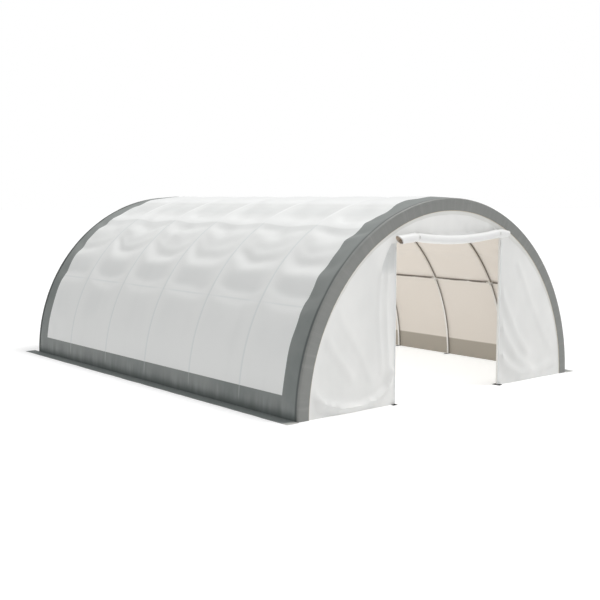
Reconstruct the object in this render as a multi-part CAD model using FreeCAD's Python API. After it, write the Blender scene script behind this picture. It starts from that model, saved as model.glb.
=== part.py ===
"""Arched livestock shelter: bent steel hoops and purlins under a welded fabric cover.

X runs across the building and Y along it, with the door end at -Y. Z is up, and the
origin is on the ground at the middle of the footprint. All sizes are in millimetres,
and angles round the arch are in degrees, from 0 at the right foot to 180 at the left.
"""
import FreeCAD, Part
import math
import os

# Overall sizes, outside the cover
WIDTH = 9150.0
LENGTH = 12200.0
BAYS = 6
HOOP_PIECES = 6  # bent tubes in one hoop, joined where the purlins cross it

# Fabric and the clearance between pieces that seat on each other
FABRIC = 3.0
FIT = 0.3
BORDER_END = 560.0  # dark border on the cover at each end
BORDER_FOOT = 480.0  # height of the dark border along the ground
BAND = 285.0  # dark band folded down over each end hoop
STRIP_ANGLE = 15.0  # one welded strip of the cover
FLAP_WIDTH = 320.0  # ground flap along each side
FLAP_FRONT = 40.0  # how far the flap runs past the door end
HEM_CORD = 8.0

# Tubes: outside diameter and wall
HOOP_TUBE = 60.3
HOOP_WALL = 2.0
PURLIN_TUBE = 42.4
PURLIN_WALL = 2.0
POST_TUBE = 48.3
POST_WALL = 2.5
HEADER_TUBE = 42.4
HEADER_WALL = 2.0
TUBE_GAP = 2.0  # between the ends of two hoop tubes inside a joint

# Cross joints, where a purlin meets a hoop
JOINT_WALL = 4.0
JOINT_REACH = 70.0  # half the collar's length along the hoop
STUB_REACH = 110.0  # from the hoop's axis to the end of the purlin's socket
HOOP_SCREW_OFFSET = 40.0
STUB_SCREW_OFFSET = 75.0

# Post clamps and header tees
CLAMP_REACH = 45.0
CLAMP_SOCKET = 90.0  # depth of the socket round the top of a post
TEE_REACH = 50.0

# Feet
PLATE = 8.0
FOOT_LENGTH = 200.0
FOOT_WIDTH = 60.0
FOOT_HEEL = 30.0  # plate outside the hoop's axis
SPIGOT_HEIGHT = 140.0
SPIGOT_WALL = 3.0
SPIGOT_SCREW_HEIGHT = 90.0
SPIGOT_FIT = 1.0  # all round, between a spigot and the tube over it
ANCHOR_HOLE = 14.0
ANCHOR_FIRST = 60.0  # from the hoop's axis to the first anchor hole
ANCHOR_SPACING = 80.0
POST_PLATE_WIDTH = 130.0
POST_PLATE_LENGTH = 220.0
POST_ANCHOR_SPACING = 160.0

# Self-drilling screws
SCREW = 8.0
SCREW_LENGTH = 16.0
SCREW_HEAD = 13.0  # across the flats
SCREW_HEAD_HEIGHT = 5.0

# Door opening, and the door rolled up over it
DOOR_WIDTH = 3600.0
DOOR_HEIGHT = 3600.0
HEADER_RISE = 30.0  # header's axis above the opening
CURTAIN_RISE = 200.0  # the curtain's top seam above the opening
CURTAIN_FREE = 140.0  # height of curtain between the seam and the roll
ROLL_RADIUS = 100.0
ROLL_CLEAR = 25.0  # between the roll and the end wall
ROLL_OVERHANG_LEFT = 50.0
ROLL_OVERHANG_RIGHT = 100.0
ROLL_SAG_HEIGHT = 20.0  # roll's axis above the opening, at the middle
TIE_LEFT_INSET = 540.0  # from the left jamb to the left tie
TIE_RIGHT_INSET = 280.0
TIE_LEFT_HEIGHT = 110.0  # roll's axis above the opening, at each tie
TIE_RIGHT_HEIGHT = 130.0
ROLL_LEFT_HEIGHT = 60.0
ROLL_RIGHT_HEIGHT = 110.0
TIE_WIDTH = 30.0
TIE_FABRIC = 3.0
TOGGLE = 16.0
TOGGLE_LENGTH = 70.0
TIE_TAB = 85.0
ZIP_TAPE = 60.0
ZIP_TAPE_THICK = 2.0
ZIP_CHAIN = 10.0
ZIP_CHAIN_THICK = 4.0
ZIP_FOOT = 20.0  # the tape stops this far above the ground
SLIDER_WIDTH = 32.0
SLIDER_HEIGHT = 48.0
SLIDER_THICK = 9.0
SLIDER_DROP = 150.0  # the sliders park this far below the top of the opening
PULL_WIDTH = 12.0
PULL_HEIGHT = 60.0
PULL_THICK = 3.0

# Sizes that follow
COVER_OUTSIDE = WIDTH / 2
COVER_INSIDE = COVER_OUTSIDE - FABRIC
JOINT_RADIUS = HOOP_TUBE / 2 + FIT + JOINT_WALL
STUB_RADIUS = PURLIN_TUBE / 2 + FIT + JOINT_WALL
ARCH = COVER_INSIDE - FIT - JOINT_RADIUS  # radius of the hoops' axis
BAND_FACE = LENGTH / 2
BAND_BACK = BAND_FACE - FABRIC
WALL_FACE = BAND_BACK - FIT
WALL_BACK = WALL_FACE - FABRIC
END_HOOP = WALL_BACK - FIT - JOINT_RADIUS
BAY = 2 * END_HOOP / BAYS
HOOP_ANGLE = 180.0 / HOOP_PIECES
FOOT_ANGLE = math.degrees(math.asin(BORDER_FOOT / COVER_OUTSIDE))
POST_X = DOOR_WIDTH / 2 + POST_TUBE / 2
POST_Y = WALL_BACK - FIT - JOINT_RADIUS
SEAT = PLATE + FIT  # height at which tubes and walls start, on the foot plates
HEADER_Z = DOOR_HEIGHT + HEADER_RISE
ROLL_Y = -(BAND_FACE + ROLL_CLEAR + ROLL_RADIUS)
FRONT_REACH = ROLL_RADIUS + FIT + TIE_FABRIC + TOGGLE

ORIGIN = FreeCAD.Vector(0, 0, 0)
ACROSS = FreeCAD.Vector(1, 0, 0)
ALONG = FreeCAD.Vector(0, 1, 0)
UP = FreeCAD.Vector(0, 0, 1)
ROUND_ARCH = FreeCAD.Vector(0, -1, 0)  # turns from the right foot up to the ridge


def point(x, y, z):
    return FreeCAD.Vector(x, y, z)


def on_arch(radius, angle, y=0.0):
    """The point at an angle round an arch of a given radius."""
    turn = math.radians(angle)
    return point(radius * math.cos(turn), y, radius * math.sin(turn))


def arch_degrees(distance, radius=ARCH):
    """The angle that a distance along the arch takes up."""
    return math.degrees(distance / radius)


def turned(shape, angle):
    """A copy of a shape, turned round the arch."""
    copy = shape.copy()
    copy.rotate(ORIGIN, ROUND_ARCH, angle)
    return copy


def moved(shape, x=0.0, y=0.0, z=0.0):
    copy = shape.copy()
    copy.translate(point(x, y, z))
    return copy


def to_other_end(shape):
    """A copy of a shape, turned half way round the building's middle."""
    copy = shape.copy()
    copy.rotate(ORIGIN, UP, 180)
    return copy


def block(low, high):
    """A box between two corners."""
    size = [b - a for a, b in zip(low, high)]
    return Part.makeBox(size[0], size[1], size[2], point(*low))


def rod(radius, start, end):
    """A round bar between two points."""
    run = end.sub(start)
    return Part.makeCylinder(radius, run.Length, start, run)


def pipe(outside, wall, start, end):
    """A straight tube between two points."""
    return rod(outside / 2, start, end).cut(rod(outside / 2 - wall, start, end))


def bent_rod(radius, start, end):
    """A round bar bent to the arch, from one angle to another."""
    tangent = on_arch(1.0, start + 90)
    ring = Part.makeCircle(radius, on_arch(ARCH, start), tangent)
    disc = Part.Face(Part.Wire(ring))
    return disc.revolve(ORIGIN, ROUND_ARCH, end - start)


def bent_pipe(outside, wall, start, end):
    """A tube bent to the arch, from one angle to another."""
    tangent = on_arch(1.0, start + 90)
    centre = on_arch(ARCH, start)
    outer = Part.Face(Part.Wire(Part.makeCircle(outside / 2, centre, tangent)))
    inner = Part.Face(Part.Wire(Part.makeCircle(outside / 2 - wall, centre, tangent)))
    ring = outer.cut(inner).Faces[0]
    return ring.revolve(ORIGIN, ROUND_ARCH, end - start)


def arch_sheet(inside, outside, near, far, start, end):
    """A sheet bent to the arch: a rectangle of radius and length, swept between two angles."""
    corners = [(inside, near), (outside, near), (outside, far), (inside, far)]
    points = [on_arch(radius, start, y) for radius, y in corners]
    face = Part.Face(Part.makePolygon(points + points[:1]))
    return face.revolve(ORIGIN, ROUND_ARCH, end - start)


def strips(inside, outside, near, far, start=0.0):
    """Strips of one welded sheet, joined edge to edge round the arch."""
    seams = [i * STRIP_ANGLE for i in range(1, int(round(180 / STRIP_ANGLE)))]
    edges = [start] + seams + [180 - start]
    return [arch_sheet(inside, outside, near, far, a, b) for a, b in zip(edges, edges[1:])]


# Screws

def screw():
    """A hex-headed screw along +X, with the underside of its head at the origin."""
    corner = SCREW_HEAD / math.sqrt(3)
    ring = [i * 60 for i in range(7)]
    points = [point(0, corner * math.cos(math.radians(a)), corner * math.sin(math.radians(a)))
              for a in ring]
    head = Part.Face(Part.makePolygon(points)).extrude(point(-SCREW_HEAD_HEIGHT, 0, 0))
    shank = rod(SCREW / 2, ORIGIN, point(SCREW_LENGTH, 0, 0))
    return head.fuse(shank).removeSplitter()


def screw_hole():
    """The hole for a screw placed like screw(), a little wider and longer."""
    return rod(SCREW / 2 + FIT, point(-FIT, 0, 0), point(SCREW_LENGTH + FIT, 0, 0))


def facing(shape, direction):
    """A copy of a screw or its hole, turned from +X to a horizontal direction."""
    copy = shape.copy()
    copy.rotate(ORIGIN, UP, math.degrees(math.atan2(direction.y, direction.x)))
    return copy


# Hoops, cross joints and purlins

def joint_screws(shape):
    """A screw or its hole, at the two places where a collar holds the hoop's tubes."""
    seat = moved(shape, x=ARCH - JOINT_RADIUS)
    step = arch_degrees(HOOP_SCREW_OFFSET)
    return [turned(seat, -step), turned(seat, step)]


def stub_screws(shape, sides):
    """A screw or its hole in each purlin socket of a joint."""
    return [moved(shape, x=ARCH - STUB_RADIUS, y=side * STUB_SCREW_OFFSET) for side in sides]


def spigot_screw(shape):
    """A screw or its hole through the foot of a hoop, at the right foot."""
    return turned(moved(shape, x=ARCH - HOOP_TUBE / 2), arch_degrees(SPIGOT_SCREW_HEIGHT))


def crossings():
    """The angles at which purlins cross the hoops."""
    return [i * HOOP_ANGLE for i in range(1, HOOP_PIECES)]


def hoop_tubes():
    """The bent tubes of one hoop, at the middle of the building."""
    start = math.degrees(math.asin(SEAT / ARCH))
    gap = arch_degrees(TUBE_GAP / 2)
    starts = [start] + [angle + gap for angle in crossings()]
    ends = [angle - gap for angle in crossings()] + [180 - start]
    hole = screw_hole()
    foot = spigot_screw(hole)
    holes = [foot, to_other_end(foot)]
    for angle in crossings():
        holes += [turned(each, angle) for each in joint_screws(hole)]
    cutter = Part.makeCompound(holes)
    return [bent_pipe(HOOP_TUBE, HOOP_WALL, a, b).cut(cutter).Solids[0]
            for a, b in zip(starts, ends)]


def hoop_positions():
    return [-END_HOOP + i * BAY for i in range(BAYS + 1)]


def sides_at(y):
    """The sides on which a joint holds a purlin: one at the end hoops, else both."""
    return [side for side in (-1, 1) if abs(y + side * BAY) < END_HOOP + BAY / 2]


def cross_joint(sides):
    """A collar round the hoop with a socket for each purlin, at the right foot's angle."""
    span = arch_degrees(JOINT_REACH)
    body = bent_rod(JOINT_RADIUS, -span, span)
    for side in sides:
        body = body.fuse(rod(STUB_RADIUS, point(ARCH, 0, 0), point(ARCH, side * STUB_REACH, 0)))
    body = body.cut(bent_rod(HOOP_TUBE / 2 + FIT, -2 * span, 2 * span))
    for side in sides:
        mouth = point(ARCH, side * (STUB_REACH + FIT), 0)
        body = body.cut(rod(PURLIN_TUBE / 2 + FIT, point(ARCH, side * JOINT_RADIUS, 0), mouth))
    hole = screw_hole()
    for cutter in joint_screws(hole) + stub_screws(hole, sides):
        body = body.cut(cutter)
    return body.Solids[0]


def joints_by_sides():
    """The three forms of joint: for the door end, for the rear end and for between."""
    return {"front": cross_joint([1]), "rear": cross_joint([-1]), "both": cross_joint([-1, 1])}


def joint_form(y):
    sides = sides_at(y)
    if len(sides) == 2:
        return "both"
    return "front" if sides == [1] else "rear"


def cross_joints(forms, angle):
    """The cross joints of one purlin line, one on each hoop."""
    return [moved(turned(forms[joint_form(y)], angle), y=y) for y in hoop_positions()]


def purlin_tubes(angle):
    """The purlin tubes of one line, one in each bay."""
    inset = JOINT_RADIUS + FIT
    tube = pipe(PURLIN_TUBE, PURLIN_WALL, point(ARCH, inset, 0), point(ARCH, BAY - inset, 0))
    hole = screw_hole()
    ends = stub_screws(hole, [1]) + [moved(each, y=BAY) for each in stub_screws(hole, [-1])]
    for cutter in ends:
        tube = tube.cut(cutter)
    return [moved(turned(tube, angle), y=y) for y in hoop_positions()[:-1]]


def hoop_screws():
    """Two screws in each collar, from inside the building."""
    pair = joint_screws(screw())
    return [moved(turned(each, angle), y=y)
            for y in hoop_positions() for angle in crossings() for each in pair]


def purlin_screws():
    """One screw in each purlin socket, from inside the building."""
    form = screw()
    return [moved(turned(each, angle), y=y)
            for y in hoop_positions() for angle in crossings()
            for each in stub_screws(form, sides_at(y))]


# Feet of the hoops

def hoop_foot():
    """A plate with a spigot that the hoop stands over, at the right foot."""
    outer = ARCH + FOOT_HEEL
    plate = block((outer - FOOT_LENGTH, -FOOT_WIDTH / 2, 0), (outer, FOOT_WIDTH / 2, PLATE))
    for x in (ANCHOR_FIRST, ANCHOR_FIRST + ANCHOR_SPACING):
        plate = plate.cut(rod(ANCHOR_HOLE / 2, point(ARCH - x, 0, -1), point(ARCH - x, 0, PLATE + 1)))
    diameter = HOOP_TUBE - 2 * HOOP_WALL - 2 * SPIGOT_FIT
    spigot = bent_pipe(diameter, SPIGOT_WALL, 0, arch_degrees(PLATE + SPIGOT_HEIGHT))
    foot = plate.fuse(spigot).cut(spigot_screw(screw_hole()))
    return foot.removeSplitter().Solids[0]


def foot_row(side):
    """The hoop feet along one side of the building."""
    foot = hoop_foot() if side > 0 else to_other_end(hoop_foot())
    return [moved(foot, y=y) for y in hoop_positions()]


def foot_screws():
    right = spigot_screw(screw())
    return [moved(each, y=y) for y in hoop_positions() for each in (right, to_other_end(right))]


# End frames: door posts, header, clamps and their feet, made for the door end

def post_angle(side):
    """The angle at which the end hoop passes over a post."""
    return math.degrees(math.acos(side * POST_X / ARCH))


def post_top():
    """The height at which a post stops, just under the hoop's collar."""
    hoop_z = math.sqrt(ARCH ** 2 - POST_X ** 2)
    return hoop_z - JOINT_RADIUS - POST_TUBE / 2


def post_holes(shape):
    """A screw or its hole at a post's foot, tee and top, on the post's inner side."""
    seat = facing(shape, point(0, -1, 0))
    foot = moved(seat, y=-POST_Y + POST_TUBE / 2, z=SPIGOT_SCREW_HEIGHT)
    sleeve = -POST_Y + POST_TUBE / 2 + FIT + JOINT_WALL
    tee = moved(seat, y=sleeve, z=HEADER_Z - TEE_REACH * 0.7)
    top = moved(seat, y=sleeve, z=post_top() - CLAMP_SOCKET / 2)
    return [foot, tee, top]


def at_post(shape, side):
    return moved(shape, x=side * POST_X)


def post(side):
    tube = pipe(POST_TUBE, POST_WALL, point(0, -POST_Y, SEAT), point(0, -POST_Y, post_top()))
    for cutter in post_holes(screw_hole()):
        tube = tube.cut(cutter)
    return at_post(tube.Solids[0], side)


def post_foot(side):
    """A plate with a spigot inside the post. One anchor hole is on each side of the wall."""
    half = POST_PLATE_WIDTH / 2
    reach = POST_PLATE_LENGTH / 2
    plate = block((-half, -POST_Y - reach, 0), (half, -POST_Y + reach, PLATE))
    for step in (-POST_ANCHOR_SPACING / 2, POST_ANCHOR_SPACING / 2):
        y = -POST_Y + step
        plate = plate.cut(rod(ANCHOR_HOLE / 2, point(0, y, -1), point(0, y, PLATE + 1)))
    diameter = POST_TUBE - 2 * POST_WALL - 2 * SPIGOT_FIT
    top = point(0, -POST_Y, PLATE + SPIGOT_HEIGHT)
    spigot = pipe(diameter, SPIGOT_WALL, point(0, -POST_Y, PLATE / 2), top)
    foot = plate.fuse(spigot).cut(post_holes(screw_hole())[0])
    return at_post(foot.removeSplitter().Solids[0], side)


def post_clamp(side):
    """A collar round the end hoop with a socket for the top of a post."""
    angle = post_angle(side)
    span = arch_degrees(CLAMP_REACH)
    collar = moved(bent_rod(JOINT_RADIUS, angle - span, angle + span), y=-POST_Y)
    bore = moved(bent_rod(HOOP_TUBE / 2 + FIT, angle - 2 * span, angle + 2 * span), y=-POST_Y)
    hoop_z = ARCH * math.sin(math.radians(angle))
    low = point(side * POST_X, -POST_Y, post_top() - CLAMP_SOCKET)
    high = point(side * POST_X, -POST_Y, hoop_z)
    sleeve = rod(POST_TUBE / 2 + FIT + JOINT_WALL, low, high)
    socket = rod(POST_TUBE / 2 + FIT, low.sub(UP), point(low.x, low.y, post_top() + FIT))
    hole = at_post(post_holes(screw_hole())[2], side)
    return collar.fuse(sleeve).cut(bore).cut(socket).cut(hole).Solids[0]


def header_tee(side):
    """A sleeve round the post with a socket for the header."""
    axis = point(side * POST_X, -POST_Y, HEADER_Z)
    rise = point(0, 0, TEE_REACH)
    sleeve_radius = POST_TUBE / 2 + FIT + JOINT_WALL
    mouth = point(side * (POST_X - STUB_REACH), -POST_Y, HEADER_Z)
    body = rod(sleeve_radius, axis.sub(rise), axis.add(rise))
    body = body.fuse(rod(HEADER_TUBE / 2 + FIT + JOINT_WALL, axis, mouth))
    body = body.cut(rod(POST_TUBE / 2 + FIT, axis.sub(rise * 2), axis.add(rise * 2)))
    seat = point(side * (POST_X - sleeve_radius), -POST_Y, HEADER_Z)
    body = body.cut(rod(HEADER_TUBE / 2 + FIT, seat, mouth.sub(ACROSS * side)))
    return body.cut(at_post(post_holes(screw_hole())[1], side)).Solids[0]


def header():
    reach = POST_X - POST_TUBE / 2 - JOINT_WALL - 2 * FIT
    start = point(-reach, -POST_Y, HEADER_Z)
    return pipe(HEADER_TUBE, HEADER_WALL, start, point(reach, -POST_Y, HEADER_Z))


def post_screws():
    return [at_post(each, side) for side in (-1, 1) for each in post_holes(screw())]


def both_ends(solids):
    """The solids of the door end, and the same ones at the rear end."""
    return solids + [to_other_end(each) for each in solids]


# Cover, borders and ground flaps

def cover_field():
    reach = BAND_FACE - BORDER_END
    return strips(COVER_INSIDE, COVER_OUTSIDE, -reach, reach, FOOT_ANGLE)


def cover_border():
    """The dark end border on the cover, at the door end."""
    return strips(COVER_INSIDE, COVER_OUTSIDE, -BAND_BACK, -BAND_FACE + BORDER_END)


def foot_border():
    """The dark border along the ground, on the right."""
    reach = BAND_FACE - BORDER_END
    return [arch_sheet(COVER_INSIDE, COVER_OUTSIDE, -reach, reach, 0, FOOT_ANGLE)]


def face_band():
    """The dark band folded down over the end hoop, at the door end."""
    return strips(COVER_OUTSIDE - BAND, COVER_OUTSIDE, -BAND_FACE, -BAND_BACK)


def hem_cord():
    """The cord sewn into the inner edge of the band, at the door end."""
    radius = COVER_OUTSIDE - BAND - FIT - HEM_CORD / 2
    y = -(WALL_FACE + FIT + HEM_CORD / 2)
    start = on_arch(radius, 0, y)
    disc = Part.Face(Part.Wire(Part.makeCircle(HEM_CORD / 2, start, UP)))
    return [disc.revolve(point(0, y, 0), ROUND_ARCH, 180)]


def ground_flap(side):
    """The flap that lies on the ground. Its rear end balances the roll at the door end."""
    edge = COVER_OUTSIDE + FIT
    near = -(BAND_FACE + FLAP_FRONT)
    far = -ROLL_Y + FRONT_REACH
    if side > 0:
        return [block((edge, near, 0), (edge + FLAP_WIDTH, far, FABRIC))]
    return [block((-edge - FLAP_WIDTH, near, 0), (-edge, far, FABRIC))]


# End walls

def half_disc(near, far):
    """The end wall's whole outline, as a sheet between two planes."""
    radius = COVER_INSIDE - FIT
    disc = Part.makeCylinder(radius, far - near, point(0, near, 0), ALONG)
    return disc.common(block((-radius, near, SEAT), (radius, far, radius)))


def wall_piece(x_low, x_high, z_low):
    """The part of the door end's wall between two uprights and above a height."""
    disc = half_disc(-WALL_FACE, -WALL_BACK)
    return [disc.common(block((x_low, -WALL_FACE, z_low), (x_high, -WALL_BACK, WIDTH))).Solids[0]]


# Door

def roll_stations():
    """The roll's axis as x and z, level where the ties go round it."""
    left = -DOOR_WIDTH / 2
    right = DOOR_WIDTH / 2
    half = TIE_WIDTH / 2 + FIT
    tie_left = left + TIE_LEFT_INSET
    tie_right = right - TIE_RIGHT_INSET
    middle = (tie_left + tie_right) / 2
    heights = [
        (left - ROLL_OVERHANG_LEFT, ROLL_LEFT_HEIGHT),
        (tie_left - half, TIE_LEFT_HEIGHT),
        (tie_left + half, TIE_LEFT_HEIGHT),
        ((tie_left + middle) / 2, ROLL_SAG_HEIGHT + (TIE_LEFT_HEIGHT - ROLL_SAG_HEIGHT) / 4),
        (middle, ROLL_SAG_HEIGHT),
        ((middle + tie_right) / 2, ROLL_SAG_HEIGHT + (TIE_RIGHT_HEIGHT - ROLL_SAG_HEIGHT) / 4),
        (tie_right - half, TIE_RIGHT_HEIGHT),
        (tie_right + half, TIE_RIGHT_HEIGHT),
        (right + ROLL_OVERHANG_RIGHT, ROLL_RIGHT_HEIGHT),
    ]
    return [(x, DOOR_HEIGHT + rise) for x, rise in heights]


def door_roll():
    rings = [Part.Wire(Part.makeCircle(ROLL_RADIUS, point(x, ROLL_Y, z), ACROSS))
             for x, z in roll_stations()]
    return [Part.makeLoft(rings, True, True)]


def tie_places():
    """The centre of the roll at each tie."""
    left = point(-DOOR_WIDTH / 2 + TIE_LEFT_INSET, ROLL_Y, DOOR_HEIGHT + TIE_LEFT_HEIGHT)
    right = point(DOOR_WIDTH / 2 - TIE_RIGHT_INSET, ROLL_Y, DOOR_HEIGHT + TIE_RIGHT_HEIGHT)
    return {"left": left, "right": right}


def tie_loop(centre):
    """A strap round the roll, closed by a toggle on its front."""
    half = ACROSS * (TIE_WIDTH / 2)
    inside = ROLL_RADIUS + FIT
    outside = inside + TIE_FABRIC
    strap = rod(outside, centre.sub(half), centre.add(half))
    front = centre.sub(ALONG * (outside + TOGGLE / 2 - FIT))
    reach = ACROSS * (TOGGLE_LENGTH / 2)
    loop = strap.fuse(rod(TOGGLE / 2, front.sub(reach), front.add(reach)))
    loop = loop.cut(rod(inside, centre.sub(half * 3), centre.add(half * 3)))
    return [loop.Solids[0]]


def tie_tabs():
    """The tabs on the end wall that the ties hang from."""
    tabs = []
    for centre in tie_places().values():
        seat = centre.z + ROLL_RADIUS + FIT + TIE_FABRIC + FIT
        left = centre.x - TIE_WIDTH / 2
        right = centre.x + TIE_WIDTH / 2
        back = -WALL_FACE - FIT
        upright = block((left, back - FABRIC, seat), (right, back, seat + TIE_TAB))
        shelf = block((left, ROLL_Y, seat), (right, back, seat + FABRIC))
        tabs.append(upright.fuse(shelf).removeSplitter())
    return tabs


def door_curtain():
    """The free stretch of the curtain, between its top seam and the roll."""
    top = DOOR_HEIGHT + CURTAIN_RISE
    back = -WALL_FACE - FIT
    half = DOOR_WIDTH / 2
    return [block((-half, back - FABRIC, top - CURTAIN_FREE), (half, back, top))]


def zip_tape(side):
    """The zip's tape and chain, up one jamb."""
    centre = side * DOOR_WIDTH / 2
    back = -WALL_FACE - FIT
    front = back - ZIP_TAPE_THICK
    half = ZIP_TAPE / 2
    tape = block((centre - half, front, ZIP_FOOT), (centre + half, back, DOOR_HEIGHT))
    half = ZIP_CHAIN / 2
    chain = block((centre - half, front - ZIP_CHAIN_THICK, ZIP_FOOT),
                  (centre + half, front, DOOR_HEIGHT))
    return [tape.fuse(chain).removeSplitter()]


def zip_slider(side):
    """The slider on the zip, with the pull that hangs from it."""
    centre = side * DOOR_WIDTH / 2
    back = -WALL_FACE - FIT - ZIP_TAPE_THICK - ZIP_CHAIN_THICK - FIT
    low = DOOR_HEIGHT - SLIDER_DROP
    half = SLIDER_WIDTH / 2
    body = block((centre - half, back - SLIDER_THICK, low), (centre + half, back, low + SLIDER_HEIGHT))
    body = body.makeFillet(SLIDER_THICK * 0.8, [e for e in body.Edges if upright_edge(e, ALONG)])
    half = PULL_WIDTH / 2
    pull = block((centre - half, back - SLIDER_THICK - PULL_THICK, low - PULL_HEIGHT),
                 (centre + half, back - SLIDER_THICK, low + SLIDER_HEIGHT / 2))
    return [body.fuse(pull).removeSplitter()]


def upright_edge(edge, direction):
    """Whether a straight edge runs along a direction."""
    run = edge.Vertexes[-1].Point.sub(edge.Vertexes[0].Point)
    return abs(run.dot(direction)) > run.Length * 0.999


LINES = ("right_lower", "right_upper", "ridge", "left_upper", "left_lower")


def line_names():
    """A name for each purlin line, from the right foot to the left."""
    if len(crossings()) == len(LINES):
        return list(LINES)
    return [str(i + 1) for i in range(len(crossings()))]


def frame_parts():
    parts = {}
    tubes = hoop_tubes()
    for number, y in enumerate(hoop_positions(), 1):
        parts["hoop_%d" % number] = [moved(tube, y=y) for tube in tubes]
    forms = joints_by_sides()
    for name, angle in zip(line_names(), crossings()):
        parts["purlin_" + name] = purlin_tubes(angle)
        parts["cross_joints_" + name] = cross_joints(forms, angle)
    parts["hoop_screws"] = hoop_screws()
    parts["purlin_screws"] = purlin_screws()
    parts["foot_plates_right"] = foot_row(1)
    parts["foot_plates_left"] = foot_row(-1)
    parts["foot_screws"] = foot_screws()
    return parts


def end_frame_parts():
    parts = {}
    for name, side in (("left", -1), ("right", 1)):
        parts["front_post_" + name] = [post(side)]
        parts["rear_post_" + name] = [to_other_end(post(-side))]
    parts["front_header"] = [header()]
    parts["rear_header"] = [to_other_end(header())]
    parts["post_feet"] = both_ends([post_foot(side) for side in (-1, 1)])
    parts["post_clamps"] = both_ends([post_clamp(side) for side in (-1, 1)])
    parts["header_tees"] = both_ends([header_tee(side) for side in (-1, 1)])
    parts["post_screws"] = both_ends(post_screws())
    return parts


def fabric_parts():
    parts = {"cover_field": cover_field()}
    for name, make in (("cover_border", cover_border), ("face_band", face_band),
                       ("hem_cord", hem_cord)):
        solids = make()
        parts[name + "_front"] = solids
        parts[name + "_rear"] = [to_other_end(each) for each in solids]
    parts["foot_border_right"] = foot_border()
    parts["foot_border_left"] = [to_other_end(each) for each in foot_border()]
    for name, side in (("left", -1), ("right", 1)):
        parts["ground_flap_" + name] = ground_flap(side)
    jamb = DOOR_WIDTH / 2
    parts["front_wall_left"] = wall_piece(-WIDTH, -jamb, 0)
    parts["front_wall_right"] = wall_piece(jamb, WIDTH, 0)
    parts["front_gable"] = wall_piece(-jamb, jamb, DOOR_HEIGHT)
    parts["rear_wall"] = [half_disc(WALL_BACK, WALL_FACE).Solids[0]]
    return parts


def door_parts():
    parts = {"door_roll": door_roll(), "door_curtain": door_curtain(), "tie_tabs": tie_tabs()}
    for name, centre in tie_places().items():
        parts["door_tie_" + name] = tie_loop(centre)
    for name, side in (("left", -1), ("right", 1)):
        parts["zip_tape_" + name] = zip_tape(side)
        parts["zip_slider_" + name] = zip_slider(side)
    return parts


def main():
    os.makedirs("parts", exist_ok=True)
    parts = {}
    for group in (frame_parts, end_frame_parts, fabric_parts, door_parts):
        parts.update(group())
    for name, solids in parts.items():
        shape = solids[0] if len(solids) == 1 else Part.makeCompound(solids)
        if not shape.isValid():
            print("not valid:", name)
        shape.exportStep("parts/%s.step" % name)
    print(len(parts), "nodes,", sum(len(solids) for solids in parts.values()), "solids")


main()
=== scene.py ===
# %% [markdown]
# # An arched fabric shelter
# This lesson dresses a steel and fabric shelter. The hard parts (hoops, purlins, joints, feet)
# come ready made from the CAD frame and only need finishes. Everything made of cloth is built here
# as thin curved sheets, because cloth shows its folds, and the CAD solids for it are plain
# stand-ins.

# %% Load the frame
import math

import bpy
import numpy as np
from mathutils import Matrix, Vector


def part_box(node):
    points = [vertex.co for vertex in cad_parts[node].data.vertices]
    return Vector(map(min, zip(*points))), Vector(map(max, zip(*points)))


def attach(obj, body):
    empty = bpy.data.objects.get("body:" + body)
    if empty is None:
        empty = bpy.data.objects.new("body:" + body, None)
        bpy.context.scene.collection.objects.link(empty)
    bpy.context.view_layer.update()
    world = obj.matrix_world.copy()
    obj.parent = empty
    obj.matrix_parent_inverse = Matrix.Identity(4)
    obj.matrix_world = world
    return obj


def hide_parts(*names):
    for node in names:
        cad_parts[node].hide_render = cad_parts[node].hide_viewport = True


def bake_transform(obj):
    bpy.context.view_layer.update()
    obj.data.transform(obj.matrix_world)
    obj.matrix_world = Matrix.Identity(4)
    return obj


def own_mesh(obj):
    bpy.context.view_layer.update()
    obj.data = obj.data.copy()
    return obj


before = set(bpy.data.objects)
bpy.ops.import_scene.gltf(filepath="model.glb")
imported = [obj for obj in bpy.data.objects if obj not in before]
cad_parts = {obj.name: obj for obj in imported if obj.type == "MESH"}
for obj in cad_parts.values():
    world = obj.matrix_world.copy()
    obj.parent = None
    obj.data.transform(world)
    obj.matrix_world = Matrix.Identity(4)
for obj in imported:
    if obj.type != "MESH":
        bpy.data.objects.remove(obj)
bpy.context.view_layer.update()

scene = bpy.context.scene

# %% [markdown]
# ## The camera
# The camera stands at the front left corner, a little above a person's eyes, and looks slightly
# down. It comes first, so that every later piece can be judged in the picture.

# %% Camera
CAMERA_PLACE = (-17.1205, -21.2936, 4.5913)
CAMERA_TURN = (84.017, 0.0, -39.668)
CAMERA_LENS = 58.87
CAMERA_REACH = 900.0

camera = bpy.data.objects.new("camera", bpy.data.cameras.new("camera"))
scene.collection.objects.link(camera)
camera.location = CAMERA_PLACE
camera.rotation_euler = [math.radians(turn) for turn in CAMERA_TURN]
camera.data.lens = CAMERA_LENS
camera.data.sensor_width = 36.0
camera.data.clip_end = CAMERA_REACH
scene.camera = camera
scene.view_settings.view_transform = "Standard"
print("camera", CAMERA_PLACE)

# %% [markdown]
# ## Shader sums as plain expressions
# A finish is a small sum of patterns: tone plus a stain, times a streak. Wiring each Math node by
# hand hides that sum, so one class wraps a socket and lets Python's own operators add the nodes.


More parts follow.
